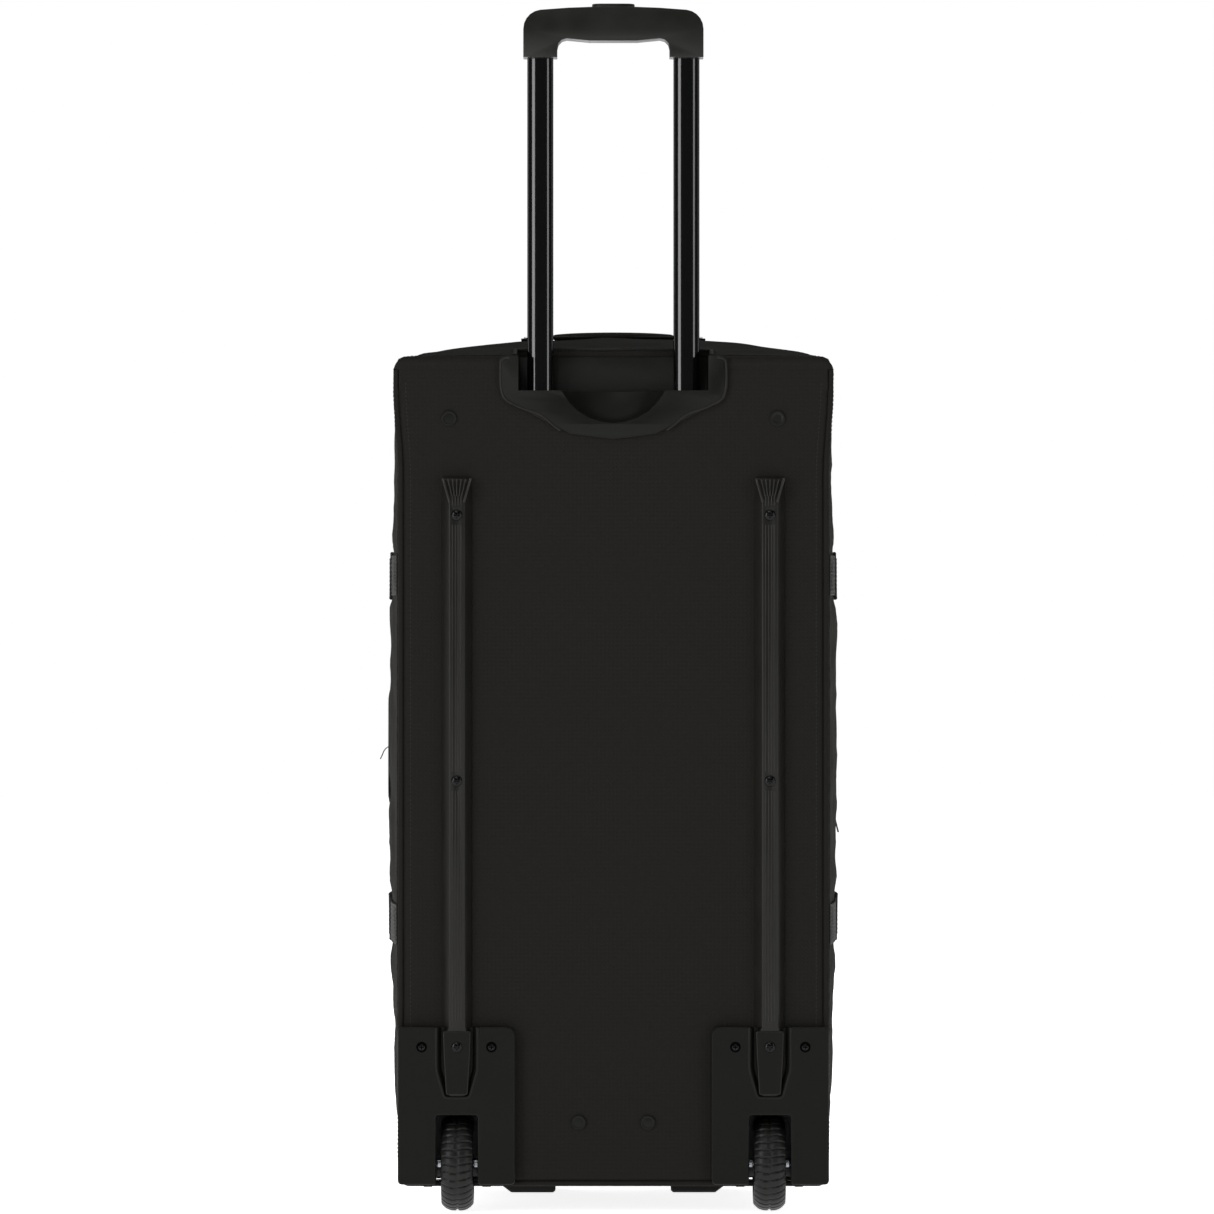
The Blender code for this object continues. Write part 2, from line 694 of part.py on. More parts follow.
def add_slider(name, pivot, rotation, parts, tools):
    """Build a zip slider. Locally the zip runs along Z and the slider faces +X.

    The origin is where the pull's pin passes through the bridge.
    """
    surface = -BRIDGE_HEIGHT / 2
    plate = add_box(name, (surface - SLIDER_PLATE, -SLIDER_WIDTH / 2, -SLIDER_LENGTH / 2),
                    (surface, SLIDER_WIDTH / 2, SLIDER_LENGTH / 2), parts)
    bridge = add_box("join_" + name, (surface - 0.001, -BRIDGE_WIDTH / 2, -BRIDGE_LENGTH / 2),
                     (surface + BRIDGE_HEIGHT, BRIDGE_WIDTH / 2, BRIDGE_LENGTH / 2), tools)
    eye = add_cylinder("cut_" + name, BRIDGE_EYE, 0.02, (0, 0, 0), "Y", tools, 12)
    move_origin(plate, (0, 0, 0))
    for obj in (plate, bridge, eye):
        obj.matrix_world = placed(obj, pivot, rotation)
    join(plate, bridge)
    cut(plate, eye)
    paint(plate, DARK_STEEL)
    return plate


def move_origin(obj, place):
    """Move an unrotated object's origin without moving its mesh."""
    shift = obj.location - Vector(place)
    obj.data.transform(Matrix.Translation(shift))
    obj.location = place


def placed(obj, pivot, rotation):
    """Return an object's matrix after turning it about the origin and moving it to pivot."""
    local = Matrix.LocRotScale(obj.location, obj.rotation_euler, None)
    return Matrix.Translation(pivot) @ rotation.to_4x4() @ local


def add_pull(name, pivot, rotation, parts, tools):
    """Build a zip pull that hangs from its pin, which is its origin."""
    half = PULL_THICKNESS / 2
    tab = add_box(name, (-half, -PULL_WIDTH / 2, half - PULL_LENGTH),
                  (half, PULL_WIDTH / 2, half), parts)
    bevel(tab, 0.0004, 1)
    window = BRIDGE_WIDTH / 2 + 0.0005
    reach = BRIDGE_LENGTH / 2 + 0.003
    opening = add_box("cut_" + name, (-0.01, -window, -reach), (0.01, window, -half), tools)
    move_origin(tab, (0, 0, 0))
    for obj in (tab, opening):
        obj.matrix_world = placed(obj, pivot, rotation)
    cut(tab, opening)
    paint(tab, GLOSS_BLACK)
    return tab


def build_zips(parts, tools):
    """Build the main zip's two sliders and pulls, and the pocket's slider."""
    pin_x = SEAM_HALF_WIDTH + ZIP_THICKNESS + SLIDER_PLATE + BRIDGE_HEIGHT / 2
    upright = Matrix.Identity(3)
    leaning = Matrix.Rotation(-UPPER_PULL_ANGLE, 3, "Y")
    upper = (pin_x, ZIP_Y, UPPER_SLIDER_Z)
    lower = (pin_x, ZIP_Y, LOWER_SLIDER_Z)
    add_slider("main_slider_upper", upper, upright, parts, tools)
    add_slider("main_slider_lower", lower, upright, parts, tools)
    add_pull("main_pull_upper", upper, leaning, parts, tools)
    add_pull("main_pull_lower", lower, upright, parts, tools)

    face = FRONT_Y + GAP + POCKET_THICKNESS + ZIP_THICKNESS + SLIDER_PLATE
    z = POCKET_TOP - POCKET_ZIP_DROP
    x = POCKET_HALF - POCKET_SLIDER_SIDE
    slider = add_box("pocket_slider", (x - SLIDER_LENGTH / 2, face - SLIDER_PLATE, z - SLIDER_WIDTH / 2),
                     (x + SLIDER_LENGTH / 2, face, z + SLIDER_WIDTH / 2), parts)
    neck = add_box("join_pocket_neck", (x - BRIDGE_WIDTH / 2, face - 0.001, z - BRIDGE_WIDTH / 2),
                   (x + BRIDGE_WIDTH / 2, face + 0.003, z + BRIDGE_WIDTH / 2), tools)
    tab = add_box("join_pocket_tab", (x - PULL_WIDTH / 2, face + 0.001, z - PULL_LENGTH),
                  (x + PULL_WIDTH / 2, face + 0.0026, z + 0.0015), tools)
    join(slider, neck, tab)
    paint(slider, DARK_STEEL)


# ---------------------------------------------------------------- handle cup

def cup_outline():
    """Return the outline of the cup's flange as (x, z)."""
    half = CUP_WIDTH / 2
    shoulder = CUP_TOP - CUP_SHOULDER
    bottom = CUP_TOP - CUP_DROP
    depth = shoulder - bottom
    right = [(0.0, bottom), (half * 0.37, bottom + depth * 0.10),
             (half * 0.53, bottom + depth * 0.265), (half * 0.81, bottom + depth * 0.585),
             (half * 0.93, bottom + depth * 0.68), (half * 0.975, bottom + depth * 0.78),
             (half, shoulder)]
    right += arc(half - 0.006, CUP_TOP - 0.006, 0.006, 0, 90, 4)
    left = [(-x, z) for x, z in reversed(right[1:])]
    return right + left


def build_cup(parts, tools):
    """Build the moulded cup that the grip rests in, with its finger scoop."""
    middle = CUP_FACE_Y + CUP_FLANGE / 2
    cup = add_plate("handle_cup", cup_outline(), CUP_FLANGE, (0, middle, 0), parts)
    half = RECESS_WIDTH / 2 + CUP_WALL
    face = CUP_FACE_Y + CUP_FLANGE / 2
    rear = CUP_BACK_Y + CUP_WALL
    case = add_box("join_cup_case", (-half, face, LEDGE_Z - CUP_WALL), (half, rear, CUP_TOP), tools)
    scoop_half = SCOOP_HALF_WIDTH + CUP_WALL
    scoop_case = add_box("join_cup_scoop",
                         (-scoop_half, face, LEDGE_Z - SCOOP_DROP - CUP_WALL),
                         (scoop_half, rear, LEDGE_Z - CUP_WALL / 2), tools)
    join(cup, case, scoop_case)

    recess = add_box("cut_cup_recess", (-RECESS_WIDTH / 2, CUP_FACE_Y - 0.01, LEDGE_Z),
                     (RECESS_WIDTH / 2, CUP_BACK_Y, CUP_TOP + 0.01), tools)
    cut(cup, recess, scoop_cutter(tools))
    for side, name in SIDES:
        outline = stadium(OUTER_WIDTH + 4 * GAP, OUTER_DEPTH + 4 * GAP)
        slot = add_plate("cut_cup_tube_" + name, outline, 0.02,
                         (side * TUBE_X, TUBE_Y, LEDGE_Z), tools, facing="Z")
        cut(cup, slot)
    paint(cup, MOULDED)


def scoop_cutter(tools):
    """Return a ball-shaped cutter for the finger scoop."""
    radius = (SCOOP_HALF_WIDTH ** 2 + SCOOP_DROP ** 2) / (2 * SCOOP_DROP)
    shape = bmesh.new()
    bmesh.ops.create_uvsphere(shape, u_segments=28, v_segments=14, radius=radius)
    depth = RECESS_DEPTH - CUP_WALL
    bmesh.ops.scale(shape, vec=(1, depth / radius, 1), verts=shape.verts)
    mesh = bpy.data.meshes.new("cut_scoop")
    shape.to_mesh(mesh)
    shape.free()
    smooth(mesh)
    return add_mesh("cut_scoop", mesh, tools, (0, CUP_FACE_Y, LEDGE_Z - SCOOP_DROP + radius))


# ---------------------------------------------------------------- trolley

def add_tube(name, width, depth, bottom, top, x, parts, tools):
    """Build an oval tube with open ends."""
    length = top - bottom
    centre = (x, TUBE_Y, (top + bottom) / 2)
    tube = add_plate(name, stadium(width, depth), length, centre, parts, facing="Z")
    bore = add_plate("cut_bore_" + name, stadium(width - 2 * TUBE_WALL, depth - 2 * TUBE_WALL),
                     length + 0.02, centre, tools, facing="Z")
    smooth(tube.data)
    smooth(bore.data)
    cut(tube, bore)
    return tube


def build_trolley(parts, tools):
    """Build the tubes, their brackets and the lock's pins and plugs."""
    for side, name in SIDES:
        x = side * TUBE_X
        outer = add_tube("outer_tube_" + name, OUTER_WIDTH, OUTER_DEPTH, OUTER_BOTTOM,
                         LEDGE_Z - GAP, x, parts, tools)
        wall_x = x + side * OUTER_WIDTH / 2
        for level, z in (("high", PIN_Z), ("low", PIN_Z - TRAVEL)):
            cut(outer, add_cylinder(f"cut_lock_{level}_{name}", PIN_RADIUS + HOLE_CLEARANCE,
                                    0.010, (wall_x, TUBE_Y, z), "X", tools, 12))
        paint(outer, STEEL)

        inner = add_tube("inner_tube_" + name, INNER_WIDTH, INNER_DEPTH, INNER_BOTTOM,
                         GRIP_BOTTOM + SOCKET_DEPTH - GAP, x, parts, tools)
        bore = add_cylinder("cut_pin_" + name, PIN_RADIUS + HOLE_CLEARANCE, 0.016,
                            (x + side * INNER_WIDTH / 2, TUBE_Y, PIN_Z), "X", tools, 12)
        cut(inner, bore)
        paint(inner, GLOSS_BLACK)
        build_plug(name, side, x, parts, tools)
        build_upper_bracket(name, side, parts, tools)
    build_lower_bracket(parts, tools)


def build_plug(name, side, x, parts, tools):
    """Build the guide plug in an inner tube's end, and its lock pin."""
    fit = 2 * (TUBE_WALL + GAP)
    plug = add_plate("guide_plug_" + name, stadium(INNER_WIDTH - fit, INNER_DEPTH - fit),
                     PLUG_HEIGHT, (x, TUBE_Y, INNER_BOTTOM + PLUG_HEIGHT / 2), parts, facing="Z")
    tip = INNER_WIDTH / 2 - GAP
    tail = tip - PIN_LENGTH
    cavity_end = tail - PIN_TRAVEL - GAP
    cavity = add_cylinder("cut_plug_" + name, PIN_RADIUS + HOLE_CLEARANCE, 0.02,
                          (x + side * (cavity_end + 0.01), TUBE_Y, PIN_Z), "X", tools, 12)
    cut(plug, cavity)
    paint(plug, MOULDED)
    pin = add_cylinder("lock_pin_" + name, PIN_RADIUS, tip - tail,
                       (x + side * (tip + tail) / 2, TUBE_Y, PIN_Z), "X", parts, 12)
    paint(pin, STEEL)


def build_upper_bracket(name, side, parts, tools):
    """Build the bracket that ties an outer tube to an upper rivet."""
    rivet_x, z = UPPER_RIVET
    low = z - BRACKET_HEIGHT / 2
    inner = TUBE_X - OUTER_WIDTH / 2 - BRACKET_WALL
    outer = TUBE_X + OUTER_WIDTH / 2 + BRACKET_WALL
    xs = sorted((side * inner, side * outer))
    block = add_box("upper_bracket_" + name, (xs[0], BRACKET_Y, low),
                    (xs[1], BRACKET_END_Y, low + BRACKET_HEIGHT), parts)
    xs = sorted((side * (inner + 0.001), side * (rivet_x + 0.011)))
    arm = add_box("join_bracket_" + name, (xs[0], BRACKET_Y, low),
                  (xs[1], BRACKET_Y + BRACKET_PLATE, low + BRACKET_HEIGHT), tools)
    join(block, arm)
    cut(block, tube_passage("upper_" + name, side, z, tools),
        hole("bracket_rivet_" + name, side * rivet_x, z, RIVET_SHANK + HOLE_CLEARANCE, tools))
    paint(block, MOULDED)


def tube_passage(name, side, z, tools):
    """Return a cutter for an outer tube's passage through a bracket."""
    outline = stadium(OUTER_WIDTH + 2 * GAP, OUTER_DEPTH + 2 * GAP)
    return add_plate("cut_passage_" + name, outline, 2 * BRACKET_HEIGHT,
                     (side * TUBE_X, TUBE_Y, z), tools, facing="Z")


def build_lower_bracket(parts, tools):
    """Build the block that holds both outer tubes at the bottom."""
    rivet_x, z = LOWER_RIVET
    half = TUBE_X + OUTER_WIDTH / 2 + BRACKET_WALL
    block = add_box("lower_bracket", (-half, BRACKET_Y, z - BRACKET_HEIGHT / 2),
                    (half, BRACKET_END_Y, z + BRACKET_HEIGHT / 2), parts)
    for side, name in SIDES:
        cut(block, tube_passage("lower_" + name, side, z, tools),
            hole("block_rivet_" + name, side * rivet_x, z, RIVET_SHANK + HOLE_CLEARANCE, tools))
    paint(block, MOULDED)


# ---------------------------------------------------------------- grip

def grip_outline():
    """Return the grip's outline as (x, z): an arch with two short legs."""
    half = GRIP_WIDTH / 2
    top_end = GRIP_TOP - 0.0027
    inner = half - GRIP_LEG
    right = [(inner, GRIP_BOTTOM), (half, GRIP_BOTTOM)]
    right += arc(half - GRIP_CORNER, top_end - GRIP_CORNER, GRIP_CORNER, 0, 84, 5)
    right += [(half * 0.5, GRIP_TOP - 0.0009), (half * 0.24, GRIP_TOP - 0.0001)]
    left = [(-x, z) for x, z in reversed(right)]
    end_z = top_end - GRIP_BAR_END
    underside = arc(-inner + 0.009, end_z - 0.009, 0.009, 180, 90, 3)
    middle = GRIP_TOP - GRIP_BAR
    underside += [(-0.022, (end_z + 3 * middle) / 4), (0.022, (end_z + 3 * middle) / 4)]
    underside += arc(inner - 0.009, end_z - 0.009, 0.009, 90, 0, 3)
    return right + left + underside


def build_grip(parts, tools):
    """Build the grip, its button, release bar, push rods and spring."""
    grip = add_plate("grip", grip_outline(), GRIP_DEPTH, (0, TUBE_Y, 0), parts)
    smooth(grip.data)
    bevel(grip, 0.0055, 3, 50)
    bar_top = RELEASE_TOP
    bar_low = RELEASE_LOW
    channel_low = bar_low - BUTTON_TRAVEL - 2 * GAP
    reach = TUBE_X + 0.0055
    channel = add_box("cut_channel", (-reach, TUBE_Y - 0.0048, channel_low),
                      (reach, TUBE_Y + 0.0048, bar_top + 0.0008), tools)
    spring_low = channel_low - 0.0035
    spring_well = add_cylinder("cut_spring_well", SPRING_RADIUS + 0.0014, bar_low - spring_low,
                               (0, TUBE_Y, (bar_low + spring_low) / 2), "Z", tools, 16)
    mouth_low = bar_top - BUTTON_TRAVEL - GAP
    mouth = add_plate("cut_button", stadium(BUTTON_WIDTH + 4 * GAP, BUTTON_DEPTH + 4 * GAP),
                      0.030, (0, TUBE_Y, mouth_low + 0.015), tools, facing="Z")
    cut(grip, channel, spring_well, mouth)
    for side, name in SIDES:
        x = side * TUBE_X
        socket = add_plate("cut_socket_" + name,
                           stadium(INNER_WIDTH + 2 * GAP, INNER_DEPTH + 2 * GAP),
                           2 * SOCKET_DEPTH, (x, TUBE_Y, GRIP_BOTTOM), tools, facing="Z")
        shaft = add_cylinder("cut_rod_" + name, ROD_RADIUS + 0.001, 0.024,
                             (x, TUBE_Y, GRIP_BOTTOM + SOCKET_DEPTH + 0.010), "Z", tools, 12)
        cut(grip, socket, shaft)
    paint(grip, MOULDED)
    build_release(parts)
    build_spring(spring_low + GAP, bar_low - GAP, parts)


def build_release(parts):
    """Build the pieces that move with the button."""
    button_low = RELEASE_TOP + GAP
    button_high = GRIP_TOP + BUTTON_STAND
    button = add_plate("grip_button", stadium(BUTTON_WIDTH, BUTTON_DEPTH),
                       button_high - button_low,
                       (0, TUBE_Y, (button_low + button_high) / 2), parts, facing="Z")
    smooth(button.data)
    bevel(button, 0.0012, 2)
    paint(button, MOULDED)
    reach = TUBE_X + 0.0045
    bar = add_box("release_bar", (-reach, TUBE_Y - 0.004, RELEASE_LOW),
                  (reach, TUBE_Y + 0.004, RELEASE_TOP), parts)
    paint(bar, STEEL)
    rod_top = RELEASE_LOW - GAP
    rod_low = INNER_BOTTOM + PLUG_HEIGHT + BUTTON_TRAVEL + 0.001
    for side, name in SIDES:
        rod = add_cylinder("push_rod_" + name, ROD_RADIUS, rod_top - rod_low,
                           (side * TUBE_X, TUBE_Y, (rod_top + rod_low) / 2), "Z", parts, 10)
        paint(rod, STEEL)


def build_spring(low, high, parts):
    """Build the button's return spring under the release bar."""
    count = SPRING_TURNS * 10
    start = low + SPRING_WIRE
    climb = (high - low - 2 * SPRING_WIRE) / count
    points = []
    for i in range(count + 1):
        angle = 2 * math.pi * SPRING_TURNS * i / count
        points.append((SPRING_RADIUS * math.cos(angle), SPRING_RADIUS * math.sin(angle),
                       start + climb * i))
    spring = add_wire("button_spring", points, SPRING_WIRE, parts, 1, (0, TUBE_Y, 0))
    paint(spring, STEEL)


# ---------------------------------------------------------------- wheels and housings

def build_wheel(name, side, parts):
    """Build a tyre, its hub and its axle. The wheel's axis runs along X."""
    centre = (side * WHEEL_X, WHEEL_Y, WHEEL_RADIUS)
    flat = (0, math.pi / 2, 0)
    half = WHEEL_WIDTH / 2
    inner = WHEEL_RADIUS - TYRE_THICKNESS
    edge = WHEEL_RADIUS - 0.003
    tread = [(edge - 0.004, half), (edge, half - 0.0015), (WHEEL_RADIUS - 0.0006, half * 0.5),
             (WHEEL_RADIUS, 0.0), (WHEEL_RADIUS - 0.0006, -half * 0.5),
             (edge, 0.0015 - half), (edge - 0.004, -half)]
    tyre = add_turned("tyre_" + name, tread + [(inner, -half), (inner, half)],
                      centre, flat, parts, 40)
    paint(tyre, RUBBER)

    rim = inner - GAP
    bore = AXLE_RADIUS + GAP
    boss = bore + 0.005
    web = 0.004
    profile = [(rim, half - 0.001), (rim, 0.001 - half), (rim - 0.003, 0.001 - half),
               (rim - 0.004, -web), (boss, -web), (boss, -half), (bore, -half),
               (bore, half), (boss, half), (boss, web), (rim - 0.004, web),
               (rim - 0.003, half - 0.001)]
    hub = add_turned("hub_" + name, profile, centre, flat, parts, 32)
    paint(hub, MOULDED)
    axle = add_cylinder("axle_" + name, AXLE_RADIUS, AXLE_LENGTH, centre, "X", parts, 16)
    paint(axle, STEEL)


def build_housing(name, side, parts, tools):
    """Build a wheel housing: face plate, wheel well, and a recess for the rail's tongue."""
    outer = side * HALF_WIDTH
    inner = side * (HALF_WIDTH - HOUSING_WIDTH)
    xs = sorted((inner, outer))
    face = HOUSING_FACE_Y
    plate = add_box("wheel_housing_" + name, (xs[0], face, HOUSING_BOTTOM),
                    (xs[1], BACK_Y - GAP, HOUSING_TOP), parts)
    bevel(plate, 0.004, 2)
    x = side * WHEEL_X
    well = add_box("join_well_" + name,
                   (x - WELL_OUTER / 2, face + 0.005, HOUSING_BOTTOM + 0.0002),
                   (x + WELL_OUTER / 2, WELL_END_Y + WELL_WALL, WELL_TOP + WELL_WALL), tools)
    join(plate, well)
    room = add_box("cut_room_" + name, (x - WELL_WIDTH / 2, face - 0.02, -0.01),
                   (x + WELL_WIDTH / 2, WELL_END_Y, WELL_TOP), tools)
    middle = side * RAIL_X
    half = RAIL_BASE / 2 + 0.00425
    narrow = TONGUE_WIDTH / 2 + 0.0021
    low = TONGUE_BOTTOM - 0.0009
    outline = [(middle - narrow, low), (middle + narrow, low), (middle + half, low + 0.0245),
               (middle + half, HOUSING_TOP + 0.01), (middle - half, HOUSING_TOP + 0.01),
               (middle - half, low + 0.0245)]
    recess = add_plate("cut_tongue_" + name, outline, 0.03, (0, BACK_Y - GAP - 0.005, 0), tools)
    axle = add_cylinder("cut_axle_" + name, AXLE_RADIUS + GAP, AXLE_LENGTH + 0.01,
                        (x, WHEEL_Y, WHEEL_RADIUS), "X", tools, 16)
    cut(plate, room, recess, axle)
    paint(plate, MOULDED)


# ---------------------------------------------------------------- skid rails and fasteners

def build_rail(name, side, parts, tools):
    """Build a skid rail with a tongue at its foot and a flared top end."""
    base = RAIL_BASE / 2
    crest = RAIL_CREST / 2
    tongue = TONGUE_WIDTH / 2
    wide = tongue + 0.0021
    flare_start = RAIL_TOP - RAIL_FLARE
    stations = ((TONGUE_BOTTOM, tongue, tongue - 0.0025, TONGUE_HEIGHT),
                (HOUSING_TOP - 0.0035, wide, wide - 0.0025, TONGUE_HEIGHT),
                (HOUSING_TOP, base, crest, RAIL_HEIGHT),
                (flare_start, base, crest, RAIL_HEIGHT),
                (RAIL_TOP - 0.002, base - 0.0005, base - 0.002, RAIL_HEIGHT * 0.7),
                (RAIL_TOP, base - 0.001, base - 0.0025, RAIL_HEIGHT * 0.4))
    x = side * RAIL_X
    back = BACK_Y - GAP
    rings = []
    for z, half, top, height in stations:
        rings.append([(x - half, back, z), (x - top, back - height, z),
                      (x + top, back - height, z), (x + half, back, z)])
    rail = add_loft("skid_rail_" + name, rings, parts, cap_start=True, cap_end=True)
    face_outwards(rail)
    for number, z in enumerate(RAIL_SCREW_HEIGHTS):
        cut(rail, hole(f"rail_{name}_{number}", x, z, SCREW_SHANK + HOLE_CLEARANCE, tools))
        height = TONGUE_HEIGHT if z < HOUSING_TOP else RAIL_HEIGHT
        add_fastener(f"rail_screw_{name}_{number + 1}", (x, back - height - GAP, z), SCREW_HEAD,
                     0.0022, SCREW_SHANK, BRACKET_Y + 0.004, parts)
    paint(rail, MOULDED)


def add_fastener(name, seat, head, dome, shank, end_y, parts):
    """Build a domed screw or rivet whose head sits on the plane y = seat and faces -Y."""
    length = end_y - seat[1]
    rim = dome * 0.3
    profile = [(0.0, dome), (head * 0.5, dome * 0.86), (head * 0.85, dome * 0.55), (head, rim),
               (head, 0.0), (shank, 0.0), (shank, -length), (0.0, -length)]
    shape = bmesh.new()
    ring = [shape.verts.new((radius, 0, height)) for radius, height in profile]
    for first, second in zip(ring, ring[1:]):
        shape.edges.new((first, second))
    mesh = bpy.data.meshes.new(name)
    shape.to_mesh(mesh)
    shape.free()
    obj = add_mesh(name, mesh, parts, seat, (math.pi / 2, 0, 0))
    screw = obj.modifiers.new("Turn", "SCREW")
    screw.axis = "Z"
    screw.steps = 12
    screw.render_steps = 12
    screw.use_merge_vertices = True
    screw.merge_threshold = 0.00001
    screw.use_smooth_shade = True
    paint(obj, DARK_STEEL)


def build_rivets(parts):
    """Build the rivets that hold the brackets to the back panel."""
    seat_y = BACK_Y - GAP
    ends = {"upper": BRACKET_Y + BRACKET_PLATE + 0.001, "lower": TUBE_Y + OUTER_DEPTH / 2}
    for level, ((x, z), head) in RIVETS.items():
        for side, name in SIDES:
            add_fastener(f"rivet_{level}_{name}", (side * x, seat_y, z), head, 0.002,
                         RIVET_SHANK, ends[level], parts)


# ---------------------------------------------------------------- feet, handles and straps

def build_foot(name, side, parts):
    """Build a moulded foot with a ramped outer end."""
    high = BODY_BOTTOM - GAP
    outer = HALF_WIDTH - FOOT_INSET
    inner = outer - FOOT_WIDTH
    outline = [(side * inner, 0.0), (side * (outer - 0.014), 0.0),
               (side * (outer - 0.006), 0.006), (side * outer, high), (side * inner, high)]
    middle = ZIP_Y - FOOT_SETBACK - FOOT_LENGTH / 2
    foot = add_plate("foot_" + name, outline, FOOT_LENGTH, (0, middle, 0), parts)
    bevel(foot, 0.002, 1, 60)
    paint(foot, MOULDED)


def add_band(name, lower_edge, upper_edge, thickness, outward, parts):
    """Build a band from two edge lines, thickened along the outward direction."""
    rings = []
    for low, high in zip(lower_edge, upper_edge):
        shift = Vector(outward) * thickness
        rings.append([low, high, tuple(Vector(high) + shift), tuple(Vector(low) + shift)])
    band = add_loft(name, rings, parts, cap_start=True, cap_end=True)
    face_outwards(band)
    paint(band, WEBBING)
    return band


def build_top_handle(parts):
    """Build the carry handle, an arched band across the top."""
    count = 12
    half = TOP_HANDLE_LENGTH / 2
    edges = {-1: [], 1: []}
    for i in range(count + 1):
        x = -half + 2 * half * i / count
        lift = TOP_HANDLE_RISE * (1 - (x / half) ** 2) + GAP
        for edge in edges:
            y = TOP_HANDLE_Y + edge * HANDLE_WIDTH / 2
            edges[edge].append((x, y, top_z(x, TOP_HANDLE_Y) + GAP + lift))
    add_band("top_handle", edges[-1], edges[1], HANDLE_THICKNESS, (0, 0, 1), parts)


def build_side_handle(parts):
    """Build the grab handle on the left side, an arched upright band."""
    count = 12
    half = SIDE_HANDLE_LENGTH / 2
    edges = {-1: [], 1: []}
    for i in range(count + 1):
        along_z = -half + 2 * half * i / count
        z = SIDE_HANDLE_Z + along_z
        lift = SIDE_HANDLE_RISE * (1 - (along_z / half) ** 4) + GAP
        for edge in edges:
            y = SIDE_HANDLE_Y + edge * HANDLE_WIDTH / 2
            widest = side_x(SIDE_HANDLE_Y - HANDLE_WIDTH / 2, z)
            edges[edge].append((-widest - GAP - lift, y, z))
    add_band("side_handle", edges[-1], edges[1], HANDLE_THICKNESS * 0.8, (-1, 0, 0), parts)


def build_straps(parts):
    """Build the four compression straps that lie on the sides."""
    back = BACK_Y + 2 * PIPING_RADIUS + 2 * GAP
    front = ZIP_Y - STRAP_SETBACK
    count = 10
    for level, height in STRAP_HEIGHTS.items():
        for side, name in SIDES:
            edges = {-1: [], 1: []}
            for i in range(count + 1):
                y = back + (front - back) * i / count
                for edge in edges:
                    z = height + edge * STRAP_WIDTH / 2
                    x = max(side_x(y, z), side_x(y, height)) + 2 * GAP
                    edges[edge].append((side * x, y, z))
            add_band(f"side_strap_{level}_{name}", edges[-1], edges[1], STRAP_THICKNESS,
                     (side, 0, 0), parts)


# ---------------------------------------------------------------- main

def main():
    """Build the whole bag."""
    clear_scene()
    parts = new_collection("rolling_duffel_bag")
    tools = new_collection("cutters")
    wells = [well_cut(name, side, tools) for side, name in SIDES]
    cup = cup_cuts(tools)
    holes = back_holes(tools)
    build_back(parts, tools, wells, cup, holes)
    build_gusset(parts, wells, cup)
    build_inner_walls(parts, tools, wells)
    build_lid(parts, tools)
    build_zips(parts, tools)
    build_cup(parts, tools)
    build_trolley(parts, tools)
    build_grip(parts, tools)
    for side, name in SIDES:
        build_wheel(name, side, parts)
        build_housing(name, side, parts, tools)
        build_rail(name, side, parts, tools)
        build_foot(name, side, parts)
    build_rivets(parts)
    build_top_handle(parts)
    build_side_handle(parts)
    build_straps(parts)


main()
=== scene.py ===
"""Looks of a rolling duffel bag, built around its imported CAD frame.

The bag stands upright on its wheels and two feet, trolley side towards -Y. Each sub-assembly is a
class that builds its soft goods, trims and fasteners from the frame's own sizes and dresses the CAD
nodes that belong to it.
"""

import logging
import math
from dataclasses import dataclass, field
from enum import Enum
from typing import Callable, Sequence

import bpy
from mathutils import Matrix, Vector, noise


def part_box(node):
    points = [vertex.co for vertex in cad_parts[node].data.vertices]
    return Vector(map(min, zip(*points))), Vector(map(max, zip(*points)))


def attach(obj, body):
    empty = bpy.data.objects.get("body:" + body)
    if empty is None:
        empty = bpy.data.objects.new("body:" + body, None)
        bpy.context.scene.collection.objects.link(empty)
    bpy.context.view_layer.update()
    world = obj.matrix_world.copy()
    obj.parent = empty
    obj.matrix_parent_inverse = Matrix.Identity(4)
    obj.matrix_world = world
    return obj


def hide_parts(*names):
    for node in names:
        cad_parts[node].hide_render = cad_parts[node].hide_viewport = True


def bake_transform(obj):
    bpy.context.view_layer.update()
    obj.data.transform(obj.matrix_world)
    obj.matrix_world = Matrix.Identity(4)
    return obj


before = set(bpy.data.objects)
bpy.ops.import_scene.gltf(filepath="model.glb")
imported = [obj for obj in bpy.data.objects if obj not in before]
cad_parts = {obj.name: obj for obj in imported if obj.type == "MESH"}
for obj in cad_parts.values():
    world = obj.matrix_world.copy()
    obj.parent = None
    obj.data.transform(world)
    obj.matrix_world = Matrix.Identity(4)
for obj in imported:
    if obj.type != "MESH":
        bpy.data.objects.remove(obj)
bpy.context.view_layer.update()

LOG = logging.getLogger("duffel")
TAU = 2 * math.pi
MM = 0.001

Place = tuple[float, float, float]
Tree = bpy.types.NodeTree
Socket = bpy.types.NodeSocket
Piece = bpy.types.Object
Rail = list[tuple[Vector, Vector]]


# --------------------------------------------------------------------------------------------
# Small shared tools
# --------------------------------------------------------------------------------------------


def clamp(value: float, low: float = 0.0, high: float = 1.0) -> float:
    """Keep a value between two limits."""
    return max(low, min(high, value))


def ease(value: float) -> float:
    """Turn 0..1 into a step with soft ends."""
    value = clamp(value)
    return value * value * (3 - 2 * value)


def hump(value: float, centre: float, width: float) -> float:
    """Give a smooth bump that is 1 at the centre and 0 beyond the width."""
    return ease(1 - abs(value - centre) / width)


def span(low: float, high: float, step: float) -> list[float]:
    """Give evenly spaced values from low to high, at most a step apart."""
    count = max(1, math.ceil((high - low) / step - 1e-9))
    return [low + (high - low) * i / count for i in range(count + 1)]


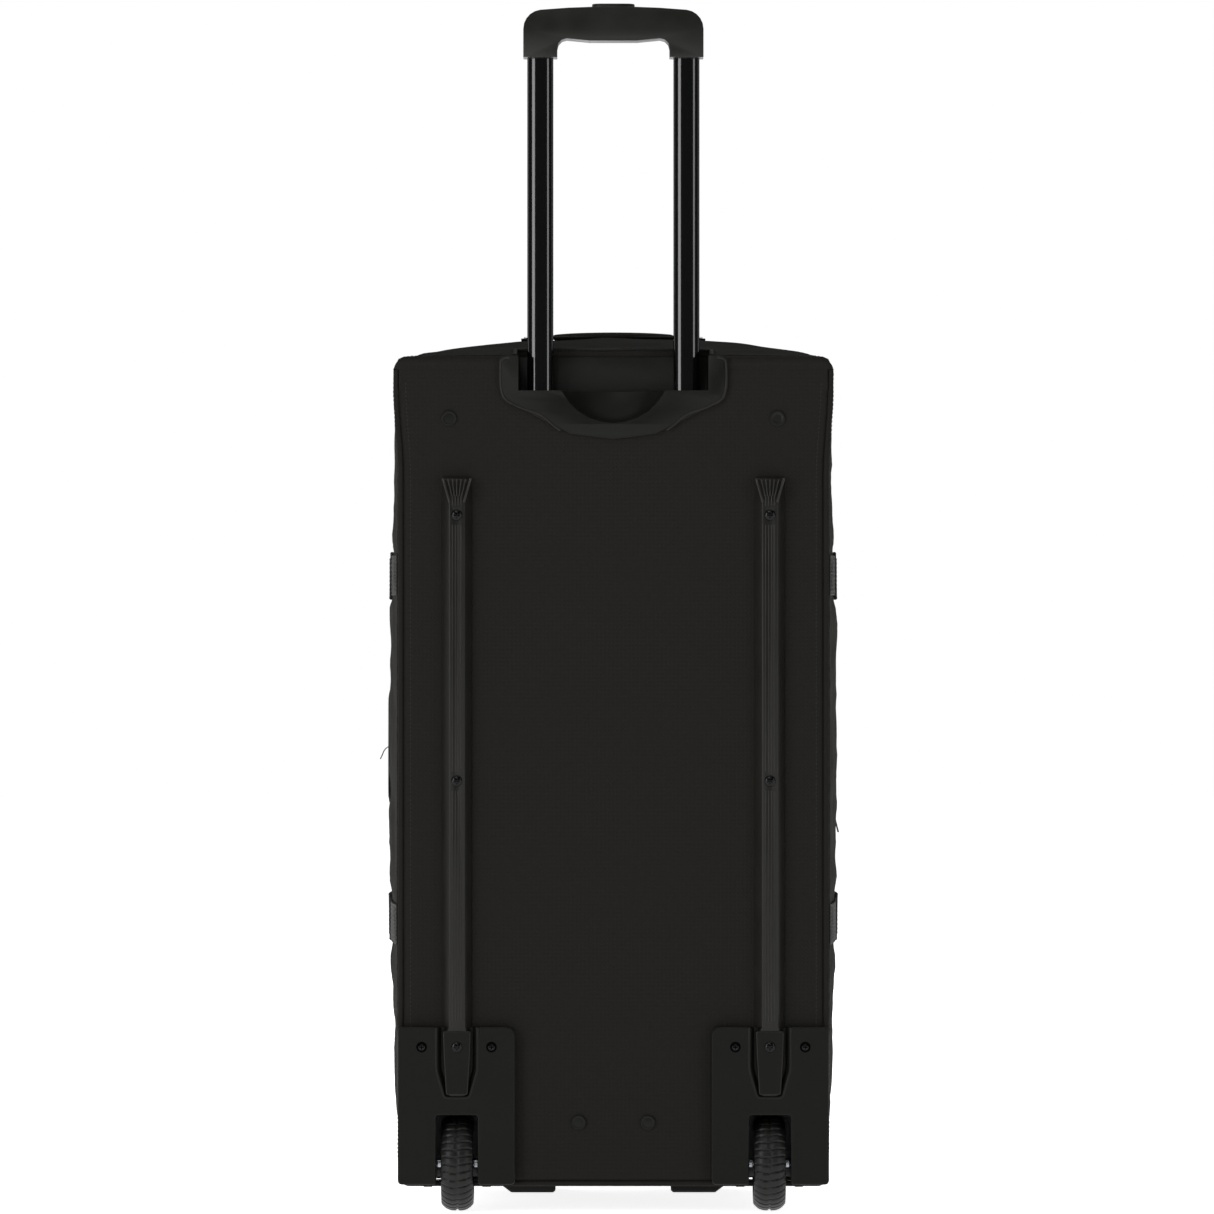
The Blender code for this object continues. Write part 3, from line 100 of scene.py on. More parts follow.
def linear(hex_colour: str) -> tuple[float, float, float, float]:
    """Turn an sRGB hex colour into the linear colour that shaders take.

    Args:
        hex_colour: six hex digits, with or without a leading hash.

    Returns:
        Linear red, green, blue and an alpha of one.
    """
    digits = hex_colour.lstrip("#")
    parts = [int(digits[i : i + 2], 16) / 255 for i in (0, 2, 4)]
    red, green, blue = (c / 12.92 if c <= 0.04045 else ((c + 0.055) / 1.055) ** 2.4 for c in parts)
    return (red, green, blue, 1.0)


def add_node(
    tree: Tree,
    kind: str,
    settings: dict | None = None,
    values: dict | None = None,
    links: dict | None = None,
) -> bpy.types.Node:
    """Add one shader node.

    Args:
        tree: the node tree it goes in.
        kind: the node's type name.
        settings: the node's own attributes.
        values: constants for its input sockets.
        links: output sockets that feed its input sockets.

    Returns:
        The new node.
    """
    node = tree.nodes.new(kind)
    for key, value in (settings or {}).items():
        setattr(node, key, value)
    for key, value in (values or {}).items():
        node.inputs[key].default_value = value
    for key, source in (links or {}).items():
        tree.links.new(source, node.inputs[key])
    return node


# --------------------------------------------------------------------------------------------
# Finishes
# --------------------------------------------------------------------------------------------


@dataclass(frozen=True)
class Finish:
    """A surface: what it is made of and how it was made. Subclasses add the pattern."""

    name: str
    colour: str
    roughness: float
    ior: float = 1.5
    specular: float = 0.5
    metallic: float = 0.0
    sheen: float = 0.0
    coat: float = 0.0
    tint: str = ""
    tint_share: float = 0.25

    def material(self) -> bpy.types.Material:
        """Build the material once and give it back on every later call.

        Returns:
            The finished material.
        """
        found = bpy.data.materials.get(self.name)
        if found:
            return found
        made = bpy.data.materials.new(self.name)
        made.use_nodes = True
        tree = made.node_tree
        tree.nodes.clear()
        shader = add_node(
            tree,
            "ShaderNodeBsdfPrincipled",
            values={
                "Base Color": linear(self.colour),
                "Roughness": self.roughness,
                "Metallic": self.metallic,
                "IOR": self.ior,
                "Specular IOR Level": self.specular,
                "Sheen Weight": self.sheen,
                "Sheen Roughness": 0.5,
                "Coat Weight": self.coat,
                "Coat Roughness": 0.08,
            },
        )
        add_node(tree, "ShaderNodeOutputMaterial", links={"Surface": shader.outputs["BSDF"]})
        place = add_node(tree, "ShaderNodeTexCoord").outputs["Object"]
        self.dress(tree, shader, place)
        return made

    def dress(self, tree: Tree, shader: bpy.types.Node, place: Socket) -> None:
        """Add the surface's pattern.

        Args:
            tree: the material's nodes.
            shader: its principled shader.
            place: coordinates on the piece, in metres.
        """
        raise NotImplementedError

    def grain(
        self, tree: Tree, place: Socket, size: float, detail: float = 3.0
    ) -> Socket:
        """Add noise whose blobs are about one size across.

        Args:
            tree: the material's nodes.
            place: coordinates in metres.
            size: the blobs' size in metres.
            detail: how many finer layers lie on it.

        Returns:
            The noise's value socket.
        """
        made = add_node(
            tree, "ShaderNodeTexNoise", values={"Scale": 1 / size, "Detail": detail},
            links={"Vector": place}
        )
        return made.outputs["Fac"]

    def spread(
        self, tree: Tree, source: Socket, low: float, high: float
    ) -> Socket:
        """Stretch a 0.3..0.7 pattern onto a range.

        Args:
            tree: the material's nodes.
            source: the pattern.
            low: the value at the pattern's low end.
            high: the value at its high end.

        Returns:
            The stretched pattern's socket.
        """
        made = add_node(
            tree,
            "ShaderNodeMapRange",
            values={"From Min": 0.3, "From Max": 0.7, "To Min": low, "To Max": high},
            links={"Value": source},
        )
        return made.outputs["Result"]

    def vary(
        self,
        tree: Tree,
        shader: bpy.types.Node,
        pattern: Socket,
        swing: float,
    ) -> None:
        """Let a pattern move the colour towards the tint and swing the roughness.

        Args:
            tree: the material's nodes.
            shader: its principled shader.
            pattern: the pattern that drives both.
            swing: how far the roughness moves either way.
        """
        share = self.spread(tree, pattern, 0.0, self.tint_share)
        mix = add_node(
            tree,
            "ShaderNodeMix",
            settings={"data_type": "RGBA"},
            values={6: linear(self.colour), 7: linear(self.tint or self.colour)},
            links={0: share},
        )
        tree.links.new(mix.outputs[2], shader.inputs["Base Color"])
        rough = self.spread(tree, pattern, self.roughness - swing,
                            min(1.0, self.roughness + swing))
        tree.links.new(rough, shader.inputs["Roughness"])

    def relief(
        self,
        tree: Tree,
        shader: bpy.types.Node,
        heights: Sequence[tuple[Socket, float, float]],
    ) -> None:
        """Stack bumps on the shader.

        Args:
            tree: the material's nodes.
            shader: its principled shader.
            heights: for each layer its pattern, its strength and its depth in metres.
        """
        normal = None
        for pattern, strength, depth in heights:
            bump = add_node(
                tree,
                "ShaderNodeBump",
                values={"Strength": strength, "Distance": depth},
                links={"Height": pattern} | ({"Normal": normal} if normal else {}),
            )
            normal = bump.outputs["Normal"]
        tree.links.new(normal, shader.inputs["Normal"])


@dataclass(frozen=True)
class Woven(Finish):
    """Plain woven cloth: threads cross at one spacing and catch the light in a fine even grain."""

    thread: float = 1.9 * MM
    depth: float = 0.3 * MM
    blotch: float = 60 * MM

    def weave(self, tree: Tree, place: Socket) -> Socket:
        """Add crossing threads on whichever way the cloth faces.

        Args:
            tree: the material's nodes.
            place: coordinates in metres.

        Returns:
            The weave's height socket.
        """
        turns = TAU / (2 * self.thread)
        scaled = add_node(
            tree,
            "ShaderNodeVectorMath",
            settings={"operation": "MULTIPLY"},
            values={1: (turns, turns, turns)},
            links={0: place},
        )
        waves = add_node(
            tree, "ShaderNodeVectorMath", settings={"operation": "SINE"},
            links={0: scaled.outputs[0]}
        )
        parts = add_node(tree, "ShaderNodeSeparateXYZ", links={0: waves.outputs[0]})
        turned = add_node(
            tree,
            "ShaderNodeCombineXYZ",
            links={"X": parts.outputs["Y"], "Y": parts.outputs["Z"], "Z": parts.outputs["X"]},
        )
        crossing = add_node(
            tree,
            "ShaderNodeVectorMath",
            settings={"operation": "DOT_PRODUCT"},
            links={0: waves.outputs[0], 1: turned.outputs[0]},
        )
        return crossing.outputs["Value"]

    def dress(self, tree: Tree, shader: bpy.types.Node, place: Socket) -> None:
        """Add thread relief, fibre fuzz and a slow change of tone.

        Args:
            tree: the material's nodes.
            shader: its principled shader.
            place: coordinates in metres.
        """
        fuzz = self.grain(tree, place, self.thread * 1.6, 5.0)
        self.vary(tree, shader, self.grain(tree, place, self.blotch, 6.0), 0.06)
        self.relief(tree, shader,
                    [(self.weave(tree, place), 0.2, self.depth), (fuzz, 0.5, self.depth * 1.5)])


@dataclass(frozen=True)
class Moulded(Finish):
    """Injection-moulded plastic: a fine spark-eroded grain that blurs highlights evenly."""

    pit: float = 1.1 * MM
    depth: float = 0.06 * MM
    # Colour for convex edges, found by pointiness: painted edge highlight, with some edge wear.
    edge_highlight_and_wear: str = ""

    def dress(self, tree: Tree, shader: bpy.types.Node, place: Socket) -> None:
        """Add mould grain, handling marks and paler edges: painted edge highlight, with some edge
        wear.

        Args:
            tree: the material's nodes.
            shader: its principled shader.
            place: coordinates in metres.
        """
        self.vary(tree, shader, self.grain(tree, place, 35 * MM, 5.0), 0.07)
        # Convex edges turn paler: painted edge highlight, with some edge wear.
        if self.edge_highlight_and_wear:
            edge = add_node(
                tree,
                "ShaderNodeMapRange",
                values={"From Min": 0.53, "From Max": 0.62, "To Min": 0.0, "To Max": 0.7},
                links={"Value": add_node(tree, "ShaderNodeNewGeometry").outputs["Pointiness"]},
            )
            base = shader.inputs["Base Color"].links[0].from_socket
            mix = add_node(
                tree,
                "ShaderNodeMix",
                settings={"data_type": "RGBA"},
                values={7: linear(self.edge_highlight_and_wear)},
                links={0: edge.outputs["Result"], 6: base},
            )
            tree.links.new(mix.outputs[2], shader.inputs["Base Color"])
        self.relief(tree, shader, [(self.grain(tree, place, self.pit, 2.0), 0.5, self.depth)])


@dataclass(frozen=True)
class Drawn(Finish):
    """Drawn or turned metal: streaks along one axis that stretch the highlights."""

    streak: Place = (1.0, 1.0, 0.04)
    pitch: float = 1.5 * MM
    depth: float = 0.01 * MM
    swing: float = 0.05

    def dress(self, tree: Tree, shader: bpy.types.Node, place: Socket) -> None:
        """Add drawing streaks to roughness, tone and relief.

        Args:
            tree: the material's nodes.
            shader: its principled shader.
            place: coordinates in metres.
        """
        drawn = add_node(
            tree,
            "ShaderNodeVectorMath",
            settings={"operation": "MULTIPLY"},
            values={1: self.streak},
            links={0: place},
        ).outputs[0]
        streaks = self.grain(tree, drawn, self.pitch, 2.0)
        self.vary(tree, shader, streaks, self.swing)
        self.relief(tree, shader, [(streaks, 0.2, self.depth)])


class Kit:
    """The bag's finishes, each named for its real material and process."""

    # Polyester pack cloth, plain woven and backed: flat, matt and almost without highlights. The real
    # threads are 0.6 mm apart, too fine to show, so they are drawn three times as coarse.
    shell = Woven("polyester_pack_cloth_woven", "#191816", 0.86, 1.5, 0.08, tint="#21201d")
    # The same cloth in heavier yarn over a board: a little smoother and flatter than the sides.
    panel = Woven("polyester_panel_cloth_woven", "#191816", 0.84, 1.5, 0.09, tint="#21201d",
                  blotch=90 * MM)
    # Nylon webbing, woven narrow: ribs run along it, with a soft shine on each.
    webbing = Woven("nylon_webbing_woven", "#151513", 0.66, 1.53, 0.16, sheen=0.02, tint="#1f1f1d",
                    thread=2.0 * MM, depth=0.6 * MM)
    # Zip tape is a dense polyester twill, a touch glossier than the cloth it is sewn to.
    tape = Woven("polyester_zip_tape_woven", "#141413", 0.7, 1.5, 0.14, tint="#1c1c1b",
                 thread=1.2 * MM)
    # Lining is a thin taffeta: grey, slightly silky.
    lining = Woven("polyester_lining_taffeta", "#4d4e50", 0.6, 1.5, 0.3, sheen=0.1, tint="#5d5e60",
                   thread=1.6 * MM, depth=0.15 * MM)
    # Bonded polyester thread, twisted: rounder and shinier than the cloth, so the seams show.
    thread = Woven("polyester_thread_twisted", "#191917", 0.55, 1.55, 0.2, tint="#232220",
                   thread=0.8 * MM, depth=0.1 * MM)
    # Polypropylene, moulded with a fine grain: satin, a shade greyer than the cloth. Its paler
    # edges are painted edge highlight, with some wear.
    plastic = Moulded("polypropylene_moulded_grained", "#11110f", 0.4, 1.49, 0.12, tint="#181816",
                      edge_highlight_and_wear="#282826")
    # The rails are the same plastic, polished by kerbs and stairs: soft, long highlights. Their
    # brighter crests are painted edge highlight, with some wear.
    rail = Moulded("polypropylene_moulded_polished", "#141311", 0.36, 1.49, 0.2, tint="#1b1a18",
                   edge_highlight_and_wear="#2c2b28")
    # ABS with a smooth satin mould face, worn a little by hands; its paler edges are painted
    # edge highlight as well as that wear.
    grip = Moulded("abs_moulded_satin", "#141412", 0.34, 1.54, 0.24, tint="#1b1b19", edge_highlight_and_wear="#282826",
                   depth=0.03 * MM)
    # Glass-filled nylon of the hubs: dull and slightly mottled. Its paler edges are painted edge
    # highlight, with some wear.
    hub = Moulded("nylon_moulded_hub", "#1a1a1b", 0.55, 1.53, 0.4, tint="#2a2a2a", edge_highlight_and_wear="#333333")
    # Polyurethane tread: dark, dull where it has rolled.
    tread = Moulded("polyurethane_tread_cast", "#0e0e0d", 0.4, 1.5, 0.24, tint="#191817",
                    depth=0.1 * MM,
                    tint_share=0.6)
    # Polyethylene board, extruded flat.
    board = Moulded("polyethylene_board_extruded", "#242424", 0.6, 1.51, 0.35, tint="#2e2e2e",
                    pit=3 * MM)
    # Aluminium tube under stoved black enamel: near mirror-black with long straight highlights.
    enamel = Drawn("aluminium_tube_black_enamel", "#030303", 0.11, 1.52, 0.42, tint="#050505",
                   coat=0.35,
                   depth=0.0, swing=0.004)
    # The outer tubes are left as extruded: dull silver with lines along their length.
    mill = Drawn("aluminium_tube_extruded", "#a9abad", 0.42, metallic=1.0, tint="#8f9193")
    # Zinc-plated steel of axles, pins and springs: bright, faintly blue.
    zinc = Drawn("steel_zinc_plated", "#b9bdc1", 0.28, metallic=1.0, tint="#8e949b",
                 streak=(0.1, 1.0, 1.0))
    # Blackened screw heads: a hard gloss with small sharp highlights.
    blacked = Drawn("steel_black_plated", "#020202", 0.13, 1.5, 0.2, tint="#040404",
                    streak=(1.0, 1.0, 1.0), depth=0.001 * MM)
    # Rivet heads are painted over in the cloth's own tone.
    painted = Moulded("steel_rivet_painted", "#11110f", 0.4, 1.5, 0.14, tint="#171716")
    # The broad faces of the housings, left without the paler edges (painted edge highlight with
    # some wear) that the housings' bevels carry.
    face = Moulded("polypropylene_moulded_face", "#10100e", 0.42, 1.49, 0.11, tint="#161614")
    # A near-black disc of painted shade that stands for the deep shade at the bottom of a
    # counterbore.
    painted_counterbore_shade = Moulded("polypropylene_counterbore_shade", "#020202", 0.8, 1.49, 0.02)
    # Zinc die-cast zip parts, lacquered black.
    cast = Drawn("zinc_die_cast_lacquered", "#101010", 0.3, 1.5, 0.5, coat=0.3, tint="#1c1c1c",
                 streak=(1.0, 1.0, 1.0), pitch=2.5 * MM)
    # Nylon monofilament wound into the zip's coil: small glossy loops.
    coil = Moulded("nylon_coil_monofilament", "#1a1a1a", 0.32, 1.53, 0.5, tint="#262626",
                   depth=0.02 * MM)


# --------------------------------------------------------------------------------------------
# Mesh building
# --------------------------------------------------------------------------------------------


class Draft:
    """A mesh in the making: rows of points, swept bands and threads gathered into one piece."""

    def __init__(self) -> None:
        """Start empty."""
        self.points: list[Vector] = []
        self.faces: list[tuple[int, ...]] = []
        self.slots: list[int] = []

    def grid(
        self,
        rows: Sequence[Sequence[Vector]],
        ring: bool = False,
        loop: bool = False,
        keep: Callable[[Vector], bool] | None = None,
        slot: int = 0,
    ) -> None:
        """Add a sheet of quads.

        Args:
            rows: rows of points, all of one length.
            ring: join each row's end to its start.
            loop: join the last row to the first.
            keep: a test on a face's middle; faces that fail are left out.
            slot: the material slot of the faces.
        """
        first, wide = len(self.points), len(rows[0])
        self.points.extend(Vector(p) for row in rows for p in row)
        for j in range(len(rows) if loop else len(rows) - 1):
            for i in range(wide if ring else wide - 1):
                near, far = first + j * wide, first + (j + 1) % len(rows) * wide
                step = (i + 1) % wide
                face = (near + i, near + step, far + step, far + i)
                if keep and not keep(sum((self.points[k] for k in face), Vector()) / 4):
                    continue
                self.faces.append(face)
                self.slots.append(slot)

    def lid(self, row: Sequence[Vector], slot: int = 0, flip: bool = False) -> None:
        """Close a ring of points with one face.

        Args:
            row: the ring.
            slot: the face's material slot.
            flip: turn the face over.
        """
        first = len(self.points)
        self.points.extend(Vector(p) for p in row)
        order = range(first, first + len(row))
        self.faces.append(tuple(reversed(order)) if flip else tuple(order))
        self.slots.append(slot)

    def sweep(self, rail: Rail, profile: Sequence[tuple[float, float]], closed: bool = False,
              slot: int = 0) -> None:
        """Carry a closed outline along a rail.

        Args:
            rail: points along the way, each with the surface normal under it.
            profile: the outline as pairs of sideways and outward distances.
            closed: join the end to the start.
            slot: the material slot.
        """
        rows = []
        for i, (point, normal) in enumerate(rail):
            before = rail[i - 1][0] if closed or i else point
            after = rail[(i + 1) % len(rail)][0] if closed or i + 1 < len(rail) else point
            along = (after - before).normalized()
            side = along.cross(normal).normalized()
            out = side.cross(along)
            rows.append([point + side * s + out * o for s, o in profile])
        self.grid(rows[::-1], ring=True, loop=closed, slot=slot)
        if not closed:
            self.lid(rows[0], slot)
            self.lid(rows[-1], slot, flip=True)

    def stitches(self, rail: Rail, pitch: float = 3.8 * MM, share: float = 0.74,
                 radius: float = 0.42 * MM,
                 slot: int = 0) -> None:
        """Sew a row of single thread stitches along a rail.

        Args:
            rail: the seam line with its normals.
            pitch: distance from one stitch to the next.
            share: how much of the pitch the thread shows.
            radius: the thread's radius.
            slot: the material slot.
        """
        line = resample(rail, pitch)
        for (start, normal), (end, _) in zip(line, line[1:]):
            along = (end - start) * share
            side = along.cross(normal).normalized() * radius
            lift = normal * radius
            low = start + (end - start) * (1 - share) / 2
            ring = [
                [low + along * t + (side * math.cos(a) + lift * math.sin(a)) * w
                 for a in (0, 1.05, 2.09, 3.14)]
                for t, w in ((0.0, 0.35), (0.25, 1.0), (0.75, 1.0), (1.0, 0.35))
            ]
            self.grid(ring[::-1], slot=slot)

    def finish(self, name: str, finishes: Sequence[Finish], smooth: bool = True) -> Piece:
        """Turn the draft into an object.

        Args:
            name: the piece's name.
            finishes: one finish for each material slot.
            smooth: shade it smooth.

        Returns:
            The new object.
        """
        mesh = bpy.data.meshes.new(name)
        mesh.from_pydata([tuple(p) for p in self.points], [], self.faces)
        for finish in finishes:
            mesh.materials.append(finish.material())
        mesh.polygons.foreach_set("material_index", self.slots)
        mesh.polygons.foreach_set("use_smooth", [smooth] * len(self.faces))
        mesh.validate()
        mesh.update()
        made = bpy.data.objects.new(name, mesh)
        bpy.context.scene.collection.objects.link(made)
        return made


def box_corners(low: float, high: float, half: float) -> list[tuple[float, float]]:
    """Give the corners of a sewn box and its diagonal, in sewing order."""
    return [(low, -half), (high, -half), (high, half), (low, half), (low, -half), (high, half)]


def sew_box(draft: "Draft", line: Rail) -> None:
    """Sew straight runs of stitches from corner to corner."""
    for a, b in zip(line, line[1:]):
        draft.stitches(resample([a, b], 4 * MM), pitch=3.2 * MM, slot=1)


def resample(rail: Rail, step: float) -> Rail:
    """Walk a rail in even steps.

    Args:
        rail: points with normals.
        step: the distance between the new points.

    Returns:
        The evenly spaced rail.
    """
    gaps = [(b[0] - a[0]).length for a, b in zip(rail, rail[1:])]
    total = sum(gaps)
    count = max(1, round(total / step))
    made, reach, index = [], 0.0, 0
    for k in range(count + 1):
        goal = total * k / count
        while index < len(gaps) - 1 and reach + gaps[index] < goal:
            reach += gaps[index]
            index += 1
        share = clamp((goal - reach) / max(gaps[index], 1e-9))
        (a, na), (b, nb) = rail[index], rail[index + 1]
        made.append((a.lerp(b, share), na.lerp(nb, share).normalized()))
    return made


def soften(knots: Sequence[tuple[float, float]], rounds: int = 3) -> list[tuple[float, float]]:
    """Round the corners of an open line, keeping its ends.

    Args:
        knots: the line's corners.
        rounds: how often its corners are cut.

    Returns:
        The smooth line.
    """
    line = list(knots)
    for _ in range(rounds):
        cut = [line[0]]
        for (ax, az), (bx, bz) in zip(line, line[1:]):
            cut += [(ax * 0.75 + bx * 0.25, az * 0.75 + bz * 0.25),
                    (ax * 0.25 + bx * 0.75, az * 0.25 + bz * 0.75)]
        line = [*cut, line[-1]]
    return line


def rounded(corners: Sequence[tuple[float, float, float]],
            steps: int = 5) -> list[tuple[float, float]]:
    """Round each corner of a closed outline with its own radius.

    Args:
        corners: for each corner its two coordinates and its radius.
        steps: how many steps go round a corner.

    Returns:
        The rounded outline.
    """
    made = []
    for i, (x, z, radius) in enumerate(corners):
        here = Vector((x, z))
        before = (Vector(corners[i - 1][:2]) - here).normalized()
        after = (Vector(corners[(i + 1) % len(corners)][:2]) - here).normalized()
        half = before.angle(after) / 2
        reach = radius / math.tan(half)
        start, end = here + before * reach, here + after * reach
        for k in range(steps + 1):
            t = k / steps
            spot = start * (1 - t) ** 2 + here * 2 * t * (1 - t) + end * t**2
            made.append((spot.x, spot.y))
    return made


def shrink(outline: Sequence[tuple[float, float]], inset: float) -> list[tuple[float, float]]:
    """Move a counter-clockwise outline inwards."""
    made = []
    for i, (x, z) in enumerate(outline):
        (ax, az), (bx, bz) = outline[i - 1], outline[(i + 1) % len(outline)]
        long = math.hypot(bx - ax, bz - az)
        made.append((x - (bz - az) / long * inset, z + (bx - ax) / long * inset))
    return made


def ellipse(half_wide: float, half_high: float, sides: int = 10,
            lift: float = 0.0) -> list[tuple[float, float]]:
    """Give a closed oval outline for a sweep."""
    return [
        (half_wide * math.cos(TAU * i / sides), lift + half_high * math.sin(TAU * i / sides))
        for i in range(sides)
    ]


def band(half_wide: float, thick: float, lift: float = 0.0,
         ribs: int = 0) -> list[tuple[float, float]]:
    """Give the cross-section of a woven band with soft edges.

    Args:
        half_wide: half its width.
        thick: its thickness.
        lift: how far its underside lies above the rail.
        ribs: how many ribs run along its outer face.

    Returns:
        A closed outline of sideways and outward distances.
    """
    edge = thick * 0.45
    top = [(-half_wide + edge * 0.3, lift + thick - edge * 0.3)]
    steps = max(2, ribs * 4)
    for i in range(steps + 1):
        ridge = 0.08 * thick * math.cos(TAU * ribs * i / steps) if ribs else 0.0
        top.append((-half_wide + edge + (2 * half_wide - 2 * edge) * i / steps,
                    lift + thick * 0.92 + ridge))
    top.append((half_wide - edge * 0.3, lift + thick - edge * 0.3))
    outline = [(-half_wide, lift + thick / 2), *top, (half_wide, lift + thick / 2),
               (half_wide - edge, lift),
               (-half_wide + edge, lift)]
    return list(reversed(outline))


def cluster(place: Vector, scale: float, seed: float) -> float:
    """Give smooth cloth-like noise, -1 to 1, at one spot."""
    return noise.noise(place / scale + Vector((seed, seed * 1.7, -seed)))


def add_modifier(piece: Piece, kind: str, **settings: object) -> bpy.types.Modifier:
    """Add one modifier with its settings."""
    made = piece.modifiers.new(kind.title(), kind)
    for key, value in settings.items():
        setattr(made, key, value)
    return made


def mount(piece: Piece, body: str, slot: str, *nodes: str) -> Piece:
    """Fix a piece to its body and hide the CAD nodes that it stands for.

    Args:
        piece: the finished piece.
        body: the CAD body that it moves with.
        slot: a material slot's name; not used.
        nodes: CAD nodes that it replaces.

    Returns:
        The piece.
    """
    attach(piece, body)
    if nodes:
        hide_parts(*nodes)
    LOG.info("built %s on %s", piece.name, body)
    return piece


def dress_node(node: str, finish: Finish, bevel: float = 0.0, angle: float = 30.0) -> None:
    """Give a CAD node its material and soft, light-catching edges.

    Args:
        node: the CAD node's name.
        finish: its finish.
        bevel: the width of its rounded edges in metres.
        angle: edges sharper than this many degrees stay sharp or are rounded.
    """
    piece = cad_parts[node]
    piece.data.materials.clear()
    piece.data.materials.append(finish.material())
    piece.data.polygons.foreach_set("use_smooth", [True] * len(piece.data.polygons))
    piece.data.polygons.foreach_set("material_index", [0] * len(piece.data.polygons))
    add_modifier(piece, "WELD", merge_threshold=0.01 * MM)
    limit = math.radians(angle)
    if bevel:
        add_modifier(piece, "BEVEL", width=bevel, segments=2, limit_method="ANGLE",
                     angle_limit=limit,
                     harden_normals=True, use_clamp_overlap=True)
    else:
        add_modifier(piece, "EDGE_SPLIT", split_angle=limit)
    LOG.info("dressed %s", node)


# --------------------------------------------------------------------------------------------
# The bag's own form
# --------------------------------------------------------------------------------------------


@dataclass(frozen=True)
class BodyForm:
    """The sewn shell's shape: a rounded box that swells between its seams."""

    back: float = -0.165
    zip_line: float = 0.120
    half_back: float = 0.202
    spread: float = 0.006
    radius_back: float = 0.013
    radius_spread: float = 0.044
    low: float = 0.0247
    high: float = 0.803
    bulge: float = 0.009
    flare: float = 0.0045
    flare_from: float = 0.690
    flare_to: float = 0.775

    def flared(self, z: float) -> float:
        """Give how far the stiff back edge spreads near the top."""
        return self.flare * ease((z - self.flare_from) / (self.flare_to - self.flare_from))

    def along(self, y: float) -> float:
        """Give the share of the depth from the back panel to the zip."""
        return clamp((y - self.back) / (self.zip_line - self.back))

    def half_width(self, y: float) -> float:
        """Give half the width at a depth, before it swells."""
        return self.half_back + self.spread * self.along(y)

    def crown(self, y: float) -> float:
        """Give how far the top rises at its middle."""
        share = self.along(y)
        return 0.0195 * math.sin(math.pi * share) + 0.010 * share**2

    def fit(self, x: float, y: float, z: float, inset: float = 0.0) -> Vector:
        """Swell a point of the plain rounded box out to the filled bag.

        Args:
            x: sideways place.
            y: depth.
            z: height.
            inset: how far the point lies inside the outline.

        Returns:
            The point on the bag.
        """
        half = self.half_width(y)
        rise = clamp((z - self.low) / (self.high - self.low))
        swell = self.bulge * math.sin(math.pi * self.along(y)) * math.sin(math.pi
            * rise) * abs(x) / half
        lift = self.crown(y) * (1 - min(abs(x) / half, 1) ** 3) * rise**12
        swell += self.flared(z) * clamp(1 - 2.5 * self.along(y)) * min(1.0, abs(x) / half) ** 4
        fade = clamp(1 - inset / 0.045)
        return Vector((x + math.copysign(swell, x) * fade, y, z + lift * fade))

    def section(self, y: float, inset: float = 0.0, flat: int = 34, tall: int = 72,
                arc: int = 8) -> list[Vector]:
        """Give the bag's outline at one depth, counter-clockwise seen from the back.

        Args:
            y: depth.
            inset: how far inside the outline.
            flat: steps along top and bottom.
            tall: steps along each side.
            arc: steps round each corner.

        Returns:
            The ring of points, starting at the left end of the bottom.
        """
        half, low, high = self.half_width(y) - inset, self.low + inset, self.high - inset
        radius = max(0.002, self.radius_back + self.radius_spread * self.along(y) - 0.3 * inset)
        corners = [(half - radius, low + radius, -90), (half - radius, high - radius, 0),
                   (-half + radius, high - radius, 90), (-half + radius, low + radius, 180)]
        ring: list[Vector] = []
        for k, (cx, cz, start) in enumerate(corners):
            px, pz, last = corners[k - 1]
            begin = (px + radius * math.cos(math.radians(last + 90)),
                     pz + radius * math.sin(math.radians(last + 90)))
            end = (cx + radius * math.cos(math.radians(start)),
                   cz + radius * math.sin(math.radians(start)))
            steps = flat if k % 2 == 0 else tall
            for i in range(steps):
                t = i / steps
                ring.append(self.fit(begin[0] + (end[0] - begin[0]) * t, y,
                                     begin[1] + (end[1] - begin[1]) * t, inset))
            for i in range(arc):
                turn = math.radians(start + 90 * i / arc)
                ring.append(self.fit(cx + radius * math.cos(turn), y, cz + radius * math.sin(turn),
                                     inset))
        return ring

    def outline_rail(self, y: float, inset: float = 0.0, finer: int = 2) -> Rail:
        """Give the outline at one depth with outward normals.

        Args:
            y: depth.
            inset: how far inside the outline.
            finer: how many times finer than the shell's own ring.

        Returns:
            The closed rail.
        """
        ring = self.section(y, inset, 34 * finer, 72 * finer, 8 * finer)
        rail = []
        for i, point in enumerate(ring):
            along = ring[(i + 1) % len(ring)] - ring[i - 1]
            rail.append((point, Vector((along.z, 0, -along.x)).normalized()))
        return rail

    def side_x(self, y: float, z: float) -> float:
        """Give the side's distance from the middle at one spot."""
        return self.fit(self.half_width(y), y, z).x

    def top_z(self, x: float, y: float) -> float:
        """Give the top's height at one spot."""
        return self.fit(x, y, self.high).z


FORM = BodyForm()


class Side(Enum):
    """Left or right of the bag, seen from behind."""

    LEFT = -1
    RIGHT = 1

    @property
    def word(self) -> str:
        """Give the side's name."""
        return self.name.lower()


# --------------------------------------------------------------------------------------------
# Trolley side
# --------------------------------------------------------------------------------------------


